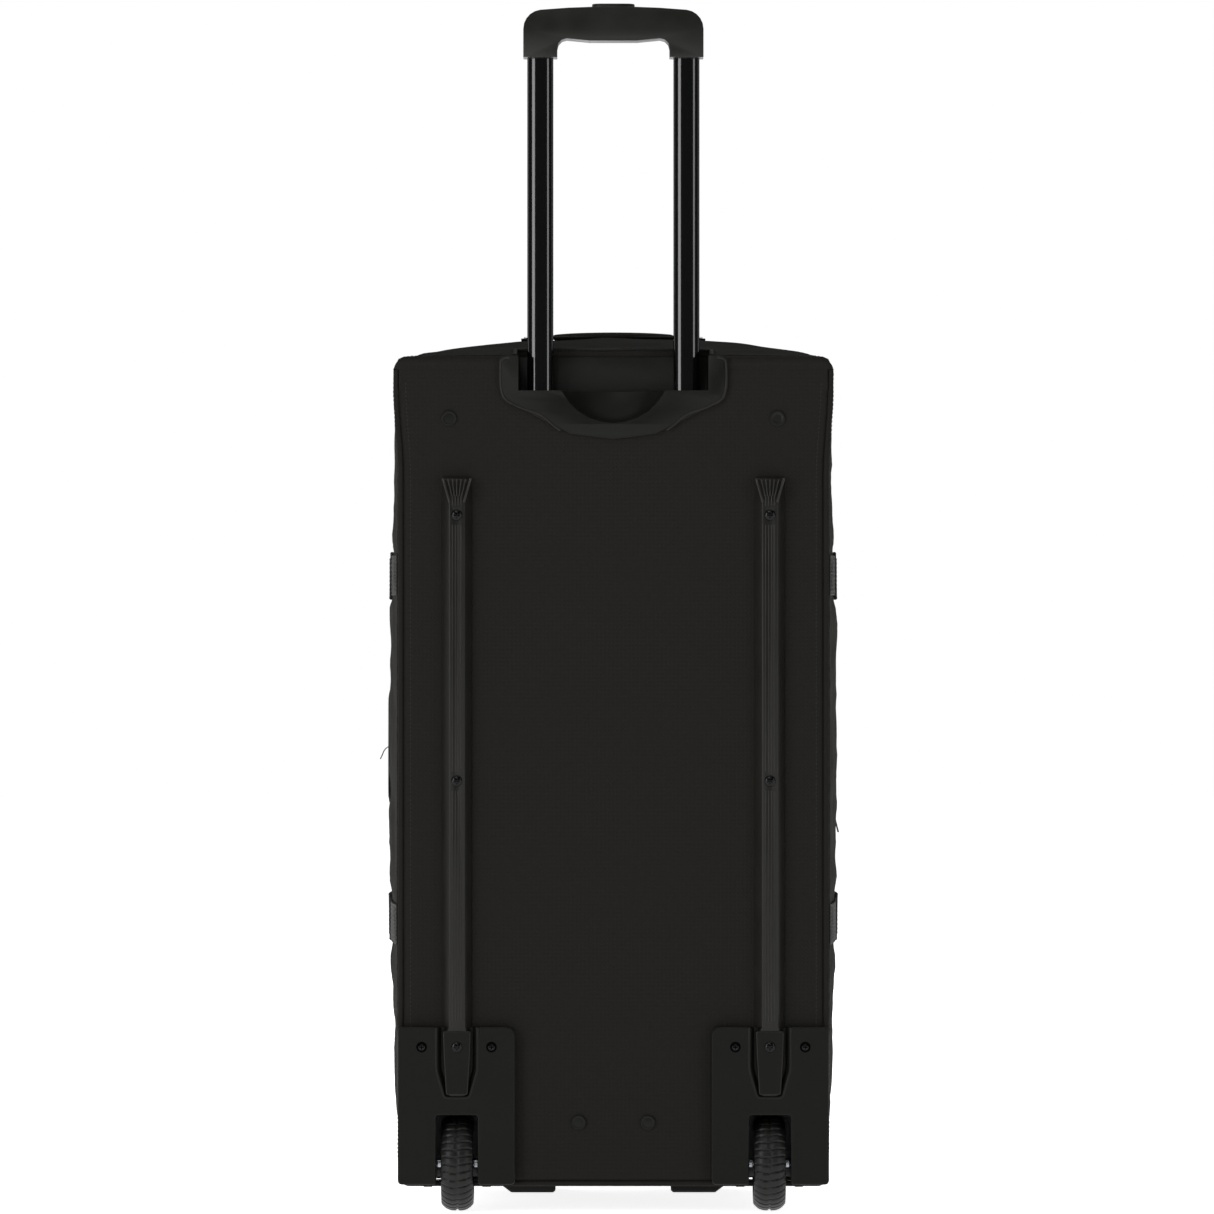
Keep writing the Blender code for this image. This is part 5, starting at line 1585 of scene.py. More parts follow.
@dataclass
class Shell:
    """The sewn body gusset: cloth that sags between its seams and is drawn in under the straps."""

    start: float = -0.1597
    end: float = 0.1195
    step: float = 5 * MM
    cup_x: float = 0.0925
    cup_y: float = -0.1245
    wheel_x: float = 0.1466
    well_half: float = 0.0245
    well_y: float = -0.085
    strap_z: tuple[float, float] = (0.598, 0.270)
    strap_half: float = 0.019

    def opened(self, spot: Vector) -> bool:
        """Tell whether a spot lies in the cup's or a wheel's cut-out."""
        cup = spot.z > 0.7 and abs(spot.x) < self.cup_x and spot.y < self.cup_y
        well = spot.z < 0.06 and abs(abs(spot.x)
                                     - self.wheel_x) < self.well_half and spot.y < self.well_y
        return cup or well

    def sag(self, spot: Vector, y: float) -> float:
        """Give how far the cloth stands out from the plain form.

        Args:
            spot: the place on the form.
            y: its depth.

        Returns:
            The offset along the outward normal, in metres.
        """
        share = FORM.along(y)
        near = min(y - self.start, self.end - y)
        free = ease(near / 0.05)
        wave = 2.4 * MM * cluster(Vector((spot.x, y, spot.z * 1.3)), 0.10, 3.0)
        wave += 1.1 * MM * cluster(Vector((spot.x, y * 1.6, spot.z)), 0.04, 6.0)
        walk = (spot.z if abs(spot.x) > 0.19 else spot.x) + 0.02 * cluster(spot, 0.05, 8.0)
        pucker = 0.22 * MM * math.sin(walk * TAU / 0.016) * hump(near, 6 * MM, 22 * MM)
        crease = 1.9 * MM * (1 - abs(cluster(Vector((spot.x, y * 0.7, spot.z * 2.4)), 0.075,
                                             11.0)) * 2.2)
        total = wave * free + pucker + max(0.0, crease) * free * 0.8 - 1.1 * MM * free
        if abs(spot.x) > 0.19 and y < 0.115:
            for z in self.strap_z:
                away = abs(spot.z - z)
                pressed = ease(1 - (away - self.strap_half) / 0.012) * ease(near / 0.02)
                total = total * (1 - pressed) - 1.2 * MM * pressed * math.sin(math.pi
                    * clamp(share, 0.05, 0.95))
                total += 1.1 * MM * hump(away, self.strap_half + 0.024, 0.022) * free
        if spot.z < 0.06:
            total = min(total, 0.2 * MM)
        return total

    def snapped(self, spot: Vector) -> Vector:
        """Move a point onto the nearest cut-out edge if it lies close."""
        lines = (self.cup_x,) if spot.z > 0.7 else (self.wheel_x - self.well_half,
                                                    self.wheel_x + self.well_half)
        for line in lines:
            if abs(abs(spot.x) - line) < 2.8 * MM and (spot.z > 0.7 or spot.z < 0.06):
                spot = Vector((math.copysign(line, spot.x), spot.y, spot.z))
        return spot

    def cloth(self) -> Piece:
        """Build the gusset with its lining side.

        Returns:
            The gusset.
        """
        depths = span(self.start, self.cup_y, self.step) + span(self.cup_y, self.well_y,
            self.step)[1:]
        depths += span(self.well_y, self.end, self.step)[1:]
        rows = []
        for y in depths:
            ring = FORM.section(y, 0.0, 68, 110, 9)
            row = []
            for i, point in enumerate(ring):
                along = ring[(i + 1) % len(ring)] - ring[i - 1]
                normal = Vector((along.z, 0, -along.x)).normalized()
                row.append(self.snapped(point + normal * self.sag(point, y)))
            rows.append(row)
        draft = Draft()
        draft.grid(rows[::-1], ring=True, keep=lambda spot: not self.opened(spot))
        piece = draft.finish("shell_gusset_cloth", [Kit.shell, Kit.lining])
        add_modifier(piece, "SOLIDIFY", thickness=1.4 * MM, offset=-1.0, material_offset=1,
                     material_offset_rim=0)
        return piece

    def seams(self) -> Piece:
        """Sew the top-stitching beside the cording and beside the zip tape."""
        draft = Draft()
        for y in (self.start + 7 * MM, 0.1005):
            rail = []
            for point, normal in FORM.outline_rail(y, 0.0, 1):
                lifted = point + normal * (self.sag(point, y) + 0.15 * MM)
                if not self.opened(lifted) and lifted.z > 0.04:
                    rail.append((lifted, normal))
            breaks = [i for i in range(len(rail) - 1) if (rail[i + 1][0]
                - rail[i][0]).length > 0.02]
            for a, b in zip([0] + [i + 1 for i in breaks], [i + 1 for i in breaks] + [len(rail)]):
                if b - a > 3:
                    draft.stitches(rail[a:b], pitch=4.0 * MM)
        return draft.finish("shell_seam_thread", [Kit.thread])

    def well_rims(self) -> Piece:
        """Bind the cloth's cut edge round each wheel well underneath."""
        draft, down = Draft(), Vector((0, 0, -1))
        for s in (-1, 1):
            a = s * self.wheel_x - self.well_half - 3 * MM
            b = s * self.wheel_x + self.well_half + 3 * MM
            y0, y1 = self.start + 4 * MM, self.well_y + 3 * MM
            line = [(Vector((x, y, FORM.low - 0.1 * MM)), down) for x,
                    y in ((a, y0), (a, y1), (b, y1), (b, y0))]
            draft.sweep(resample(line[:2], 0.02) + resample(line[1:3],
                0.02)[1:] + resample(line[2:], 0.02)[1:],
                        band(4 * MM, 1.1 * MM))
        return draft.finish("well_rim_binding", [Kit.tape])

    def facing(self) -> Piece:
        """Turn the cloth down into the cup's cut-out and bind its edge.

        Returns:
            The facing.
        """
        x0, y0 = self.cup_x, self.cup_y
        way = [(-x0, y) for y in span(self.start, y0, 4 * MM)]
        way += [(x, y0) for x in span(-x0, x0, 4 * MM)[1:]] + [(x0, y)
            for y in span(self.start, y0, 4 * MM)[-2::-1]]
        draft = Draft()
        tops = []
        for x, y in way:
            spot = Vector((x, y, FORM.top_z(x, y)))
            tops.append(Vector((x, y, spot.z + self.sag(spot, y))))
        low = 0.796
        rows = [[Vector((p.x, p.y, low + (p.z - 0.4 * MM - low) * t)) for p in tops]
                for t in (0.0, 0.5, 1.0)]
        draft.grid(rows)
        rail: Rail = [(p + Vector((0, 0, 0.1 * MM)), Vector((0, 0, 1))) for p in tops]
        draft.sweep(rail, ellipse(2.2 * MM, 1.3 * MM, 10), slot=1)
        piece = draft.finish("cup_facing_cloth", [Kit.shell, Kit.tape])
        return piece

    def build(self) -> None:
        """Build and mount the gusset and its seams."""
        mount(self.facing(), "bag", "bag_fabric")
        mount(self.cloth(), "bag", "bag_fabric", "body_gusset")
        mount(self.seams(), "bag", "bag_fabric")
        mount(self.well_rims(), "bag", "webbing")
        dress_node("base_board", Kit.board, bevel=0.5 * MM)


@dataclass
class Lining:
    """The thin cloth that hides the trolley tubes inside."""

    def build(self) -> None:
        """Hang the lining over the tubes and mount it."""
        low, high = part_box("lining_panel")
        face = high.y
        rows = []
        for z in span(low.z, high.z, 7 * MM):
            row = []
            for x in span(low.x, high.x, 6 * MM):
                edge = min(x - low.x, high.x - x, z - low.z, high.z - z)
                tube = 1.4 * MM * hump(abs(x), 0.0687, 0.03)
                fold = 1.5 * MM * cluster(Vector((x * 1.5, 0, z * 0.5)), 0.07,
                                          5.0) * ease(edge / 0.03)
                row.append(Vector((x, face - 1.6 * MM + tube + fold, z)))
            rows.append(row)
        draft = Draft()
        draft.grid(rows)
        piece = draft.finish("lining_cloth", [Kit.lining])
        add_modifier(piece, "SOLIDIFY", thickness=0.5 * MM, offset=0.0)
        mount(piece, "bag", "lining", "lining_panel")


@dataclass
class FrontLid:
    """The D-shaped lid: a shallow padded tray with a zipped pocket on its face."""

    start: float = 0.1205
    face: float = 0.165
    pocket_half: float = 0.150
    pocket_low: float = 0.110
    pocket_high: float = 0.640
    pocket_back: float = 0.1655
    pocket_face: float = 0.1740
    pocket_zip: float = 0.595

    def panel(self) -> Piece:
        """Build the lid's cloth.

        Returns:
            The lid.
        """
        shares = [(0, 0), (0.2, 0.0002), (0.45, 0.001), (0.62, 0.0024), (0.75, 0.004),
                  (0.85, 0.007), (0.92, 0.011),
                  (0.97, 0.016), (1, 0.024)]
        rows = []
        for share, inset in shares:
            y = self.start + (self.face - self.start) * share
            rows.append([Vector((p.x, y, p.z))
                         for p in FORM.section(FORM.zip_line, inset, 68, 110, 9)])
        for inset in span(0.024, 0.196, 6 * MM)[1:]:
            rows.append([Vector((p.x, self.face, p.z))
                         for p in FORM.section(FORM.zip_line, inset, 68, 110, 9)])
        shaped = []
        for j, row in enumerate(rows):
            line = []
            for p in row:
                depth = clamp(j / 8)
                over = self.over_pocket(p)
                wave = 2.4 * MM * cluster(p, 0.08, 21.0) + 1.0 * MM * cluster(p, 0.035, 23.0)
                puff = 2.4 * MM * (1 - over) * ease((j - 6) / 4)
                line.append(p + Vector((0,
                                        (wave * depth * (1 - over) + puff - 0.6 * MM * over
                                         * ease((j - 8) / 3)), 0)))
            shaped.append(line)
        draft = Draft()
        draft.grid(shaped[::-1], ring=True)
        draft.lid(shaped[-1], flip=True)
        piece = draft.finish("lid_cloth", [Kit.shell, Kit.lining])
        add_modifier(piece, "SOLIDIFY", thickness=1.6 * MM, offset=-1.0, material_offset=1,
                     material_offset_rim=0)
        return piece

    def over_pocket(self, spot: Vector) -> float:
        """Give 1 under the pocket and 0 away from it, with a soft edge."""
        away = max(abs(spot.x) - self.pocket_half, self.pocket_low - spot.z,
                   spot.z - self.pocket_high)
        return ease(1 - (away - 2 * MM) / 14 / MM)

    def pocket(self) -> Piece:
        """Sew the flat pocket and let it fill.

        Returns:
            The pocket.
        """
        rows = []
        for z in span(self.pocket_low, self.pocket_high, 6 * MM):
            row = []
            for x in span(-self.pocket_half, self.pocket_half, 6 * MM):
                edge = min(self.pocket_half - abs(x), z - self.pocket_low, self.pocket_high - z)
                rise = math.sqrt(clamp(1 - (1 - clamp(edge / 0.014)) ** 2))
                sunk = 0.35 * hump(z, self.pocket_zip, 0.014)
                spot = Vector((x, 0, z))
                wave = 0.9 * MM * cluster(spot, 0.07, 31.0) * ease(edge / 0.04)
                y = self.pocket_back + (self.pocket_face - 1.2 * MM
                                        - self.pocket_back) * rise * (1 - sunk) + wave
                row.append(Vector((x, max(y, self.pocket_back + 0.4 * MM), z)))
            rows.append(row)
        back = [[Vector((p.x, self.pocket_back, p.z)) for p in row] for row in rows]
        draft = Draft()
        draft.grid(rows[::-1])
        draft.grid(back)
        edge_front = rows[0] + [r[-1] for r in rows[1:]] + rows[-1][-2::-1] + [r[0]
            for r in rows[-2:0:-1]]
        edge_back = [Vector((p.x, self.pocket_back, p.z)) for p in edge_front]
        draft.grid([edge_front, edge_back], ring=True)
        piece = draft.finish("pocket_cloth", [Kit.shell])
        add_modifier(piece, "WELD", merge_threshold=0.05 * MM)
        bpy.context.view_layer.objects.active = piece
        bpy.ops.object.modifier_apply(modifier=piece.modifiers[0].name)
        inflate(piece, 5 * MM, 3.0, 3.0 * MM)
        for vertex in piece.data.vertices:
            sunk = 2.2 * MM * hump(vertex.co.z, self.pocket_zip,
                                   0.011) * ease((vertex.co.y - 0.1665) / 2 / MM)
            vertex.co.y = clamp(vertex.co.y - sunk, self.pocket_back, self.pocket_face + 1.6 * MM)
        add_modifier(piece, "SUBSURF", levels=1, render_levels=1)
        return piece

    def pocket_trim(self) -> Piece:
        """Sew the pocket down and set its zip."""
        draft, out = Draft(), Vector((0, 1, 0))
        half = self.pocket_half + 2.5 * MM
        low, high = self.pocket_low - 2.5 * MM, self.pocket_high + 2.5 * MM
        y = self.face + 0.4 * MM
        frame_line = [(-half, low), (half, low), (half, high), (-half, high), (-half, low)]
        rail: Rail = []
        for (ax, az), (bx, bz) in zip(frame_line, frame_line[1:]):
            rail += resample([(Vector((ax, y, az)), out), (Vector((bx, y, bz)), out)], 0.02)[:-1]
        draft.sweep(rail, band(3.2 * MM, 1.2 * MM), closed=True, slot=1)
        draft.stitches([(p + out * 1.25 * MM, n) for p,
                        n in rail] + [(rail[0][0] + out * 1.25 * MM, out)], slot=2)
        zip_y = self.pocket_face - 0.6 * MM
        for s in (-1, 1):
            line = [(Vector((x, zip_y, self.pocket_zip + s * 5.0 * MM)), out)
                    for x in span(-0.134, 0.134, 0.01)]
            draft.sweep(line, band(4.4 * MM, 0.7 * MM), slot=1)
            draft.stitches([(p + out * 0.75 * MM + Vector((0, 0, s * 2.6 * MM)), n) for p,
                            n in line], slot=2)
        coil = [(Vector((x, zip_y + 0.9 * MM, self.pocket_zip)), out)
                for x in span(-0.134, 0.134, 0.01)]
        for s in (-1, 1):
            for p, _ in resample(coil, 1.7 * MM):
                tooth(draft, p + Vector((0, 0, s * 0.8 * MM)), Vector((0, 0, 1)), out, 1.5 * MM,
                      0.55 * MM)
        return draft.finish("pocket_zip_trim", [Kit.coil, Kit.tape, Kit.thread])

    def build(self) -> None:
        """Build and mount the lid, its pocket and its trim."""
        lid = mount(self.panel(), "lid", "bag_fabric", "lid_panel")
        pocket = mount(self.pocket(), "lid", "bag_fabric", "lid_pocket")
        mount(self.pocket_trim(), "lid", "zip_metal")
        for node in ("main_slider_upper", "main_slider_lower", "pocket_slider"):
            dress_node(node, Kit.cast, bevel=0.3 * MM)
        for node in ("main_pull_upper", "main_pull_lower"):
            dress_node(node, Kit.cast, bevel=0.5 * MM)


def tooth(draft: Draft, centre: Vector, across: Vector, out: Vector, half: float,
          radius: float) -> None:
    """Add one loop of a zip coil.

    Args:
        draft: the mesh it goes in.
        centre: its middle.
        across: the way it spans.
        out: the surface normal.
        half: half its length.
        radius: half its thickness.
    """
    along = across.cross(out)
    rows = []
    for t, w in ((-1.0, 0.5), (-0.6, 1.0), (0.6, 1.0), (1.0, 0.6)):
        rows.append([centre + across * half * t + (along * math.cos(a) + out * math.sin(a))
                     * radius * w
                     for a in (0, 1.26, 2.51, 3.77, 5.03)])
    draft.grid(rows[::-1], ring=True)


@dataclass
class MainZip:
    """The long zip round the lid: tapes on both cloths, coils that meet at the split."""

    split: float = 0.120
    tape: float = 0.0145
    hinge_low: float = 0.125
    hinge_high: float = 0.705
    pitch: float = 2.6 * MM
    slider_low: float = 0.335
    slider_high: float = 0.392
    side_x: float = 0.19
    hinge_x: float = -0.209
    hinge_soft: float = 0.008

    def way(self, y: float, inset: float) -> Rail:
        """Give the zip's line from below the hinge, round the front, to above it.

        Args:
            y: its depth.
            inset: how far inside the outline.

        Returns:
            The rail.
        """
        rail = FORM.outline_rail(FORM.zip_line, inset)
        rail = [(Vector((p.x, y, p.z)), n) for p, n in rail]
        gap = [p.x < -self.side_x and self.hinge_low < p.z < self.hinge_high for p, _ in rail]
        last = max(i for i, g in enumerate(gap) if g)
        order = [*range(last + 1, len(rail)), *range(last + 1)]
        return [rail[i] for i in order if not gap[i]]

    def half(self, name: str, sign: int) -> Piece:
        """Build one half of the zip.

        Args:
            name: the piece's name.
            sign: 1 for the lid's half, -1 for the bag's.

        Returns:
            The half.
        """
        draft = Draft()
        middle = self.split + sign * (0.9 * MM + self.tape / 2)
        tape = self.way(middle, -0.2 * MM)
        draft.sweep(tape, band(self.tape / 2, 0.8 * MM), slot=1)
        stitched = [(p + n * 1.0 * MM + Vector((0, sign * 4.6 * MM, 0)), n) for p, n in tape]
        draft.stitches(stitched, slot=2)
        coil = self.way(self.split + sign * 1.0 * MM, -1.0 * MM)
        for p, n in resample(coil, self.pitch):
            if p.x > self.side_x and self.slider_low < p.z < self.slider_high:
                continue
            tooth(draft, p, Vector((0, 1, 0)), n, 1.5 * MM, 0.85 * MM)
        return draft.finish(name, [Kit.coil, Kit.tape, Kit.thread])

    def hinge(self) -> Piece:
        """Sew the cloth strip that hinges the lid.

        Returns:
            The strip.
        """
        rows = []
        for z in span(self.hinge_low + 2 * MM, self.hinge_high - 2 * MM, 8 * MM):
            row = []
            for y in span(self.split - 0.018, self.split + 0.018, 2 * MM):
                x = FORM.fit(-FORM.half_width(y), min(y, self.split), z).x
                bow = 1.9 * MM + 0.6 * MM * hump(y, self.split, self.hinge_soft)
                row.append(Vector((x - bow, y, z)))
            rows.append(row)
        draft = Draft()
        draft.grid(rows)
        piece = draft.finish("lid_hinge_strip", [Kit.panel])
        add_modifier(piece, "SOLIDIFY", thickness=0.8 * MM, offset=0.0)
        return piece

    def build(self) -> None:
        """Build both halves and the hinge strip."""
        for body, sign in (("bag", -1), ("lid", 1)):
            mount(self.half(f"zip_half_{body}", sign), body, "zip_metal")
        strip = self.hinge()
        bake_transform(strip)
        LOG.info("built %s across the lid's hinge", strip.name)


@dataclass
class SideStraps:
    """The four compression straps: webbing, ladder-lock adjusters, loose tails and box stitches."""

    heights: tuple[float, float] = (0.598, 0.270)
    half: float = 0.019
    thick: float = 1.9 * MM
    start: float = -0.1590
    end: float = 0.104
    buckle_y: float = 0.030
    box_half: float = 0.015

    def spot(self, side: Side, y: float, z: float, lift: float) -> tuple[Vector, Vector]:
        """Give a place on the bag's side with its normal.

        Args:
            side: which side.
            y: depth.
            z: height.
            lift: distance off the cloth.

        Returns:
            The point and the outward normal.
        """
        x = FORM.side_x(y, z)
        lean = (FORM.side_x(y + MM, z) - FORM.side_x(y - MM, z)) / (2 * MM)
        normal = Vector((side.value, -lean, 0)).normalized()
        return Vector((side.value * x, y, z)) + normal * lift, normal

    def strap(self, side: Side, z: float, name: str) -> Piece:
        """Build one strap with its tail and stitches.

        Args:
            side: which side.
            z: its height.
            name: the piece's name.

        Returns:
            The strap.
        """
        draft = Draft()
        main: Rail = [self.spot(side, y, z, -0.6 * MM + 0.5 * MM * math.sin(y * 40)) for y in
                      span(self.start, self.end, 5 * MM)]
        draft.sweep(main, band(self.half, self.thick, ribs=9))
        tail: Rail = []
        for y in span(self.buckle_y - 6 * MM, self.buckle_y + 0.052, 4 * MM):
            share = (y - self.buckle_y + 6 * MM) / 0.058
            tail.append(self.spot(side, y, z - 1.5 * MM * share,
                                  1.6 * MM + 2.2 * MM * math.sin(math.pi * share)))
        draft.sweep(tail, band(self.half - 1.5 * MM, self.thick * 0.9, ribs=8))
        for y0, y1 in ((self.start + 4 * MM, self.start + 0.022),
                       (self.end - 0.020, self.end - 3 * MM)):
            sew_box(draft, [self.spot(side, y, z + dz, self.thick - 0.4 * MM)
                            for y, dz in box_corners(y0, y1, self.box_half)])
        return draft.finish(name, [Kit.webbing, Kit.thread])

    def adjuster(self, side: Side, z: float, name: str) -> Piece:
        """Mould one ladder-lock adjuster.

        Args:
            side: which side.
            z: its height.
            name: the piece's name.

        Returns:
            The adjuster.
        """
        draft = Draft()
        bar = ellipse(2.0 * MM, 1.5 * MM, 10, 1.6 * MM)
        y0, y1, half = self.buckle_y - 0.013, self.buckle_y + 0.013, self.half + 2.2 * MM
        for y in (y0, self.buckle_y, y1):
            rail = [self.spot(side, y, z + dz, 0.4 * MM) for dz in span(-half, half, 4 * MM)]
            draft.sweep(rail, bar)
        for dz in (-half, half):
            rail = [self.spot(side, y, z + dz, 0.4 * MM)
                    for y in span(y0 - 1.5 * MM, y1 + 1.5 * MM, 3 * MM)]
            draft.sweep(rail, ellipse(1.9 * MM, 1.7 * MM, 10, 1.5 * MM))
        return draft.finish(name, [Kit.plastic])

    def build(self) -> None:
        """Build and mount all four straps."""
        for side in Side:
            for word, z in zip(("upper", "lower"), self.heights):
                name = f"{word}_{side.word}"
                mount(self.strap(side, z, f"strap_webbing_{name}"), "bag", "webbing",
                      f"side_strap_{name}")
                mount(self.adjuster(side, z, f"strap_adjuster_{name}"), "bag", "moulded_plastic")


@dataclass
class CarryHandles:
    """The padded top handle and the flat side handle, both of sewn webbing."""

    top_half: float = 0.088
    top_y: float = -0.0225
    top_rise: float = 0.8 * MM
    side_y: float = 0.085
    side_z: tuple[float, float] = (0.357, 0.507)
    side_rise: float = 5.5 * MM
    tail_y: float = -0.020
    top_ramp: float = 0.034
    side_ramp: float = 0.030
    sleeve_z: tuple[float, float] = (0.388, 0.476)
    box_half: float = 0.011

    def top_at(self, x: float) -> float:
        """Give the top handle's height before the cloth's sag."""
        return FORM.top_z(x, self.top_y) + self.top_rise * ease((self.top_half - abs(x))
            / self.top_ramp)

    def side_at(self, z: float) -> float:
        """Give the side handle's distance from the bag's middle."""
        low, high = self.side_z
        return FORM.side_x(self.side_y,
                           z) + self.side_rise * ease(min(z - low, high - z) / self.side_ramp)

    def top_rail(self, lift: float, reach: float) -> Rail:
        """Give the arch of the top handle.

        Args:
            lift: extra height.
            reach: half the length.

        Returns:
            The rail.
        """
        rail, spots = [], [Vector((x, self.top_y, FORM.top_z(x, self.top_y)))
                           for x in span(-0.08, 0.08, 0.02)]
        slack = sum(Shell().sag(spot, self.top_y) for spot in spots) / len(spots)
        for x in span(-reach, reach, 2 * MM):
            z = self.top_at(x) + lift + slack
            slope = (FORM.top_z(x + MM, self.top_y) - FORM.top_z(x - MM, self.top_y)) / (2 * MM)
            rail.append((Vector((x, self.top_y, z)), Vector((-slope, 0, 1)).normalized()))
        return rail

    def top(self) -> Piece:
        """Sew the top handle's webbing.

        Returns:
            The webbing.
        """
        draft = Draft()
        draft.sweep(self.top_rail(0.2 * MM, self.top_half), band(15 * MM, 2.0 * MM, ribs=7))
        for s in (-1, 1):
            sew_box(draft, [(Vector((s * x, self.top_y + dy, self.top_at(x) + 2.3 * MM)),
                             Vector((0, 0, 1)))
                            for x, dy in box_corners(0.070, 0.085, self.box_half)])
        return draft.finish("top_handle_webbing", [Kit.webbing, Kit.thread])

    def grip_pad(self) -> Piece:
        """Wrap the handle's middle in a soft padded sleeve.

        Returns:
            The sleeve.
        """
        draft = Draft()
        rail = self.top_rail(1.4 * MM, 0.058)
        rows = []
        for i, (point, normal) in enumerate(rail):
            share = i / (len(rail) - 1)
            full = 0.55 + 0.45 * math.sin(math.pi * clamp(share, 0.04, 0.96)) ** 0.5
            rows.append([point + Vector((0, 1, 0)) * s * full + normal * o * full for s, o in
                         ellipse(16.5 * MM, 4.4 * MM, 24)])
        draft.grid(rows, ring=True)
        draft.lid(rows[0], flip=True)
        draft.lid(rows[-1])
        piece = draft.finish("top_handle_pad", [Kit.shell])
        inflate(piece, 2.5 * MM, 2.0, 1.2 * MM, 12)
        add_modifier(piece, "SUBSURF", levels=1, render_levels=1)
        return piece

    def side(self) -> Piece:
        """Sew the left side's grab handle.

        Returns:
            The handle.
        """
        draft, rail = Draft(), []
        low, high = self.side_z
        for z in span(low, high, 4 * MM):
            rail.append((Vector((-(self.side_at(z) + 0.2 * MM), self.side_y, z)),
                         Vector((-1, 0, 0))))
        draft.sweep(rail, band(15 * MM, 2.2 * MM, ribs=7))
        middle = [(p + n * 0.4 * MM, n) for p,
                  n in rail if self.sleeve_z[0] < p.z < self.sleeve_z[1]]
        draft.sweep(middle, band(16.5 * MM, 2.4 * MM, -0.6 * MM), slot=2)
        for z0, z1 in ((low + 3 * MM, low + 0.018), (high - 0.018, high - 3 * MM)):
            sew_box(draft, [(Vector((-(self.side_at(z) + 2.4 * MM), self.side_y + dy, z)),
                             Vector((-1, 0, 0)))
                            for z, dy in box_corners(z0, z1, self.box_half)])
        return draft.finish("side_handle_webbing", [Kit.webbing, Kit.thread, Kit.shell])

    def tail(self) -> Piece:
        """Leave the side handle's keeper tape with a short curled end.

        Returns:
            The tape end.
        """
        draft = Draft()
        base = -FORM.side_x(self.tail_y, 0.430)
        knots = [(base + 0.001, 0.434), (base - 0.0022, 0.4335), (base - 0.0052, 0.4305),
                 (base - 0.0072, 0.4255),
                 (base - 0.0088, 0.4222)]
        line = soften(knots)
        rail: Rail = []
        for (ax, az), (bx, bz) in zip(line, line[1:]):
            along = Vector((bx - ax, 0, bz - az)).normalized()
            rail.append((Vector((ax, self.tail_y, az)), Vector((along.z, 0, -along.x))))
        draft.sweep(rail, band(4.0 * MM, 0.9 * MM))
        return draft.finish("side_handle_tape_end", [Kit.webbing])

    def build(self) -> None:
        """Build and mount both handles."""
        mount(self.tail(), "bag", "webbing")
        mount(self.top(), "bag", "webbing", "top_handle")
        pad = mount(self.grip_pad(), "bag", "bag_fabric")
        mount(self.side(), "bag", "webbing", "side_handle")


# --------------------------------------------------------------------------------------------
# Studio
# --------------------------------------------------------------------------------------------


@dataclass
class SoftBox:
    """One large soft lamp."""

    name: str
    place: Place
    aim: Place
    wide: float
    high: float
    power: float
    mirrored: bool = True

    def build(self) -> None:
        """Hang the lamp and turn it to its aim."""
        lamp = bpy.data.lights.new(self.name, "AREA")
        lamp.shape, lamp.energy = "RECTANGLE", self.power
        lamp.size, lamp.size_y = self.wide, self.high
        piece = bpy.data.objects.new(self.name, lamp)
        piece.location = self.place
        piece.visible_glossy = self.mirrored
        piece.rotation_euler = (Vector(self.aim) - Vector(self.place)).to_track_quat("-Z",
            "Y").to_euler()
        bpy.context.scene.collection.objects.link(piece)


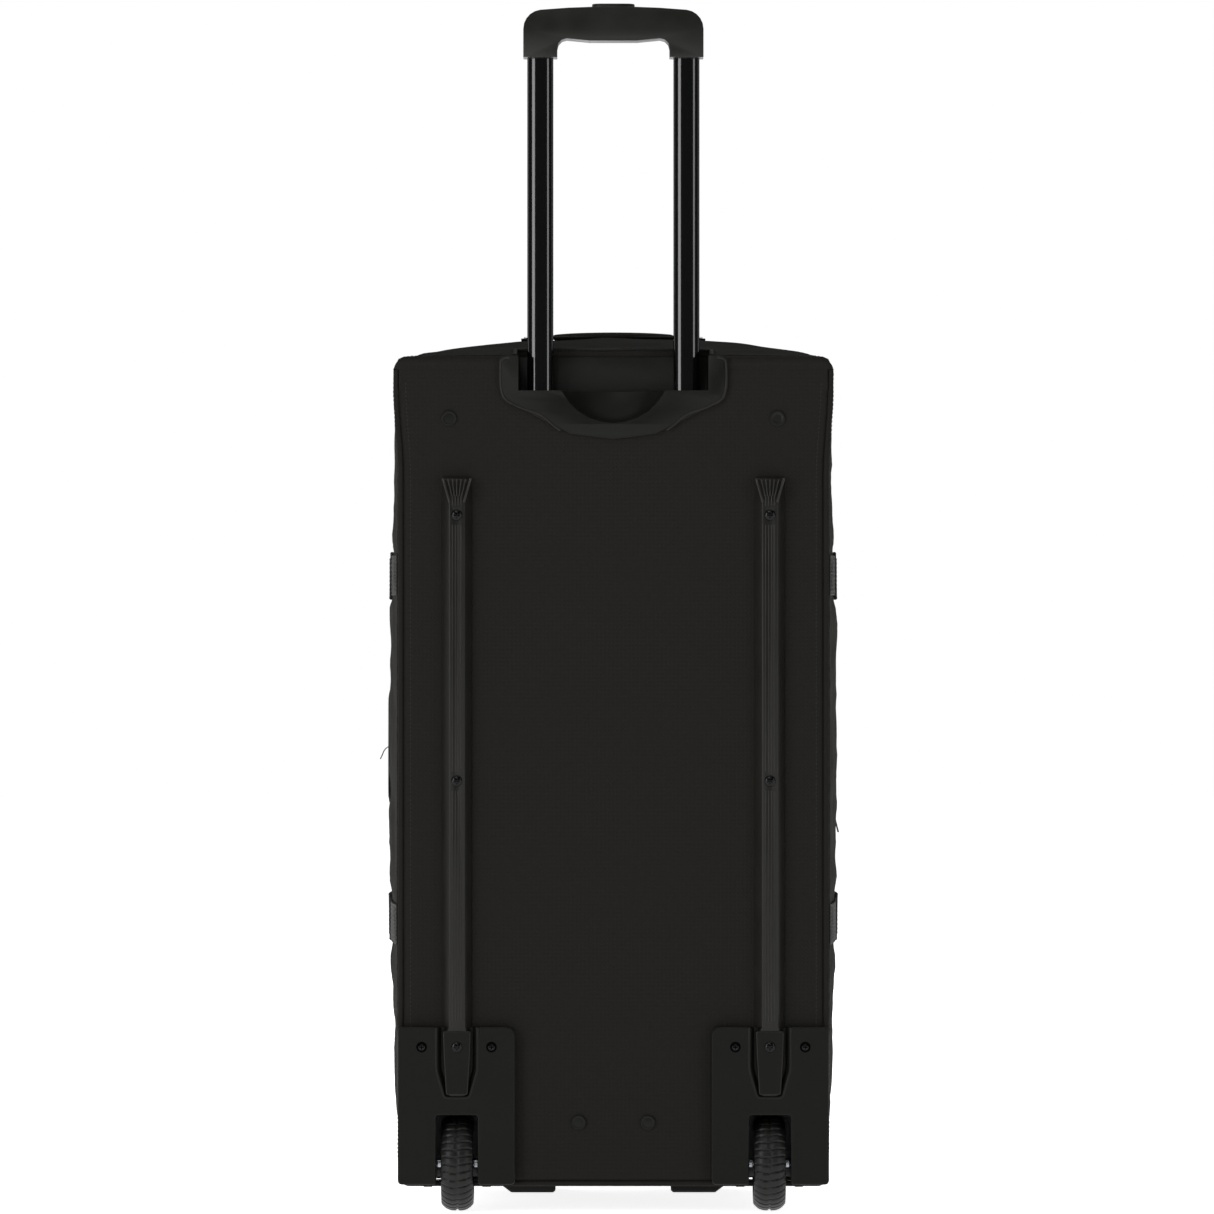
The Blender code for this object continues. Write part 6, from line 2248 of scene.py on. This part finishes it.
@dataclass
class Studio:
    """Pale floor, soft light and the camera."""

    eye: Place = (-0.006, -6.665, 0.568)
    lens: float = 205.6
    floor_half: float = 14.0
    floor_glow: float = 0.86
    lamps: list[SoftBox] = field(
        default_factory=lambda: [
            SoftBox("lamp_left_rim", (-3.2, 1.0, 1.3), (0, 0, 0.6), 0.6, 3.2, 7),
            SoftBox("lamp_right_rim", (3.2, 1.0, 1.3), (0, 0, 0.6), 0.6, 3.2, 7),
            SoftBox("lamp_left_strip", (-2.9, -3.0, 1.2), (0, 0, 0.7), 1.5, 3.0, 74),
            SoftBox("lamp_right_strip", (3.1, -2.7, 1.2), (0, 0, 0.7), 0.9, 3.0, 30),
            SoftBox("lamp_front_top", (-0.8, -3.6, 3.6), (0, 0, 0.5), 1.4, 1.4, 20),
            SoftBox("lamp_front_low", (0.5, -5.2, 0.9), (0, 0, 0.4), 1.2, 0.8, 8, mirrored=False),
            SoftBox("lamp_back_left", (-2.8, 3.4, 1.3), (0, 0, 0.5), 1.6, 1.6, 110,
                    mirrored=False),
            SoftBox("lamp_back_right", (2.6, 3.6, 1.5), (0, 0, 0.5), 1.6, 1.6, 45, mirrored=False),
            SoftBox("lamp_back_fill", (0.6, 3.0, 4.6), (0, 0, 0.5), 2.4, 2.0, 42),
        ]
    )

    def floor(self) -> None:
        """Lay the pale floor."""
        half = self.floor_half
        draft = Draft()
        draft.grid([[Vector((x, y, 0.0)) for x in (half, -half)] for y in (half, -half)])
        made = bpy.data.materials.new("paper_floor_white")
        made.use_nodes = True
        tree = made.node_tree
        shader = tree.nodes["Principled BSDF"]
        shader.inputs["Roughness"].default_value = 0.9
        shader.inputs["Specular IOR Level"].default_value = 0.1
        shader.inputs["Emission Color"].default_value = (1, 1, 1, 1)
        shader.inputs["Emission Strength"].default_value = self.floor_glow
        place = add_node(tree, "ShaderNodeTexCoord").outputs["Object"]
        fibre = add_node(tree, "ShaderNodeTexNoise", values={"Scale": 900.0},
                         links={"Vector": place})
        tone = add_node(tree, "ShaderNodeMix", settings={"data_type": "RGBA"},
                        values={6: linear("#f6f6f6"), 7: linear("#fafafa")},
                        links={0: fibre.outputs["Fac"]})
        tree.links.new(tone.outputs[2], shader.inputs["Base Color"])
        piece = draft.finish("studio_floor", [], smooth=False)
        piece.data.materials.append(made)

    def sky(self) -> None:
        """Make the surroundings white to the eye and dimmer to the bag."""
        world = bpy.data.worlds.new("studio")
        world.use_nodes = True
        tree = world.node_tree
        tree.nodes.clear()
        seen = add_node(tree, "ShaderNodeBackground",
                        values={"Color": (1, 1, 1, 1), "Strength": 1.0})
        felt = add_node(tree, "ShaderNodeBackground",
                        values={"Color": (1, 1, 1, 1), "Strength": 0.08})
        path = add_node(tree, "ShaderNodeLightPath")
        mix = add_node(tree, "ShaderNodeMixShader",
                       links={0: path.outputs["Is Camera Ray"], 1: felt.outputs[0],
                              2: seen.outputs[0]})
        add_node(tree, "ShaderNodeOutputWorld", links={"Surface": mix.outputs[0]})
        bpy.context.scene.world = world

    def sun(self) -> None:
        """Light the floor evenly from high above."""
        lamp = bpy.data.lights.new("lamp_ceiling", "SUN")
        lamp.energy, lamp.angle = 0.7, math.radians(70)
        piece = bpy.data.objects.new("lamp_ceiling", lamp)
        piece.rotation_euler = (math.radians(14), math.radians(-6), 0)
        bpy.context.scene.collection.objects.link(piece)

    def build(self) -> None:
        """Set the camera, floor and light."""
        lens = bpy.data.cameras.new("camera")
        lens.lens, lens.sensor_width, lens.clip_end = self.lens, 36.0, 100.0
        camera = bpy.data.objects.new("camera", lens)
        camera.location = self.eye
        camera.rotation_euler = (math.pi / 2, 0, 0)
        bpy.context.scene.collection.objects.link(camera)
        bpy.context.scene.camera = camera
        bpy.context.scene.view_settings.view_transform = "Standard"
        self.floor()
        self.sky()
        self.sun()
        for lamp in self.lamps:
            lamp.build()


def main() -> None:
    """Build the studio and every sub-assembly in order."""
    logging.basicConfig(level=logging.INFO, format="%(name)s %(message)s")
    Studio().build()
    for assembly in (BackPanel(), SkidRails(), Fasteners(), HandleCup(), Trolley(), Housings(),
                     Wheels(), Shell(),
                     Lining(), FrontLid(), MainZip(), SideStraps(), CarryHandles()):
        assembly.build()
        LOG.info("finished %s", type(assembly).__name__)


if __name__ == "__main__":
    main()
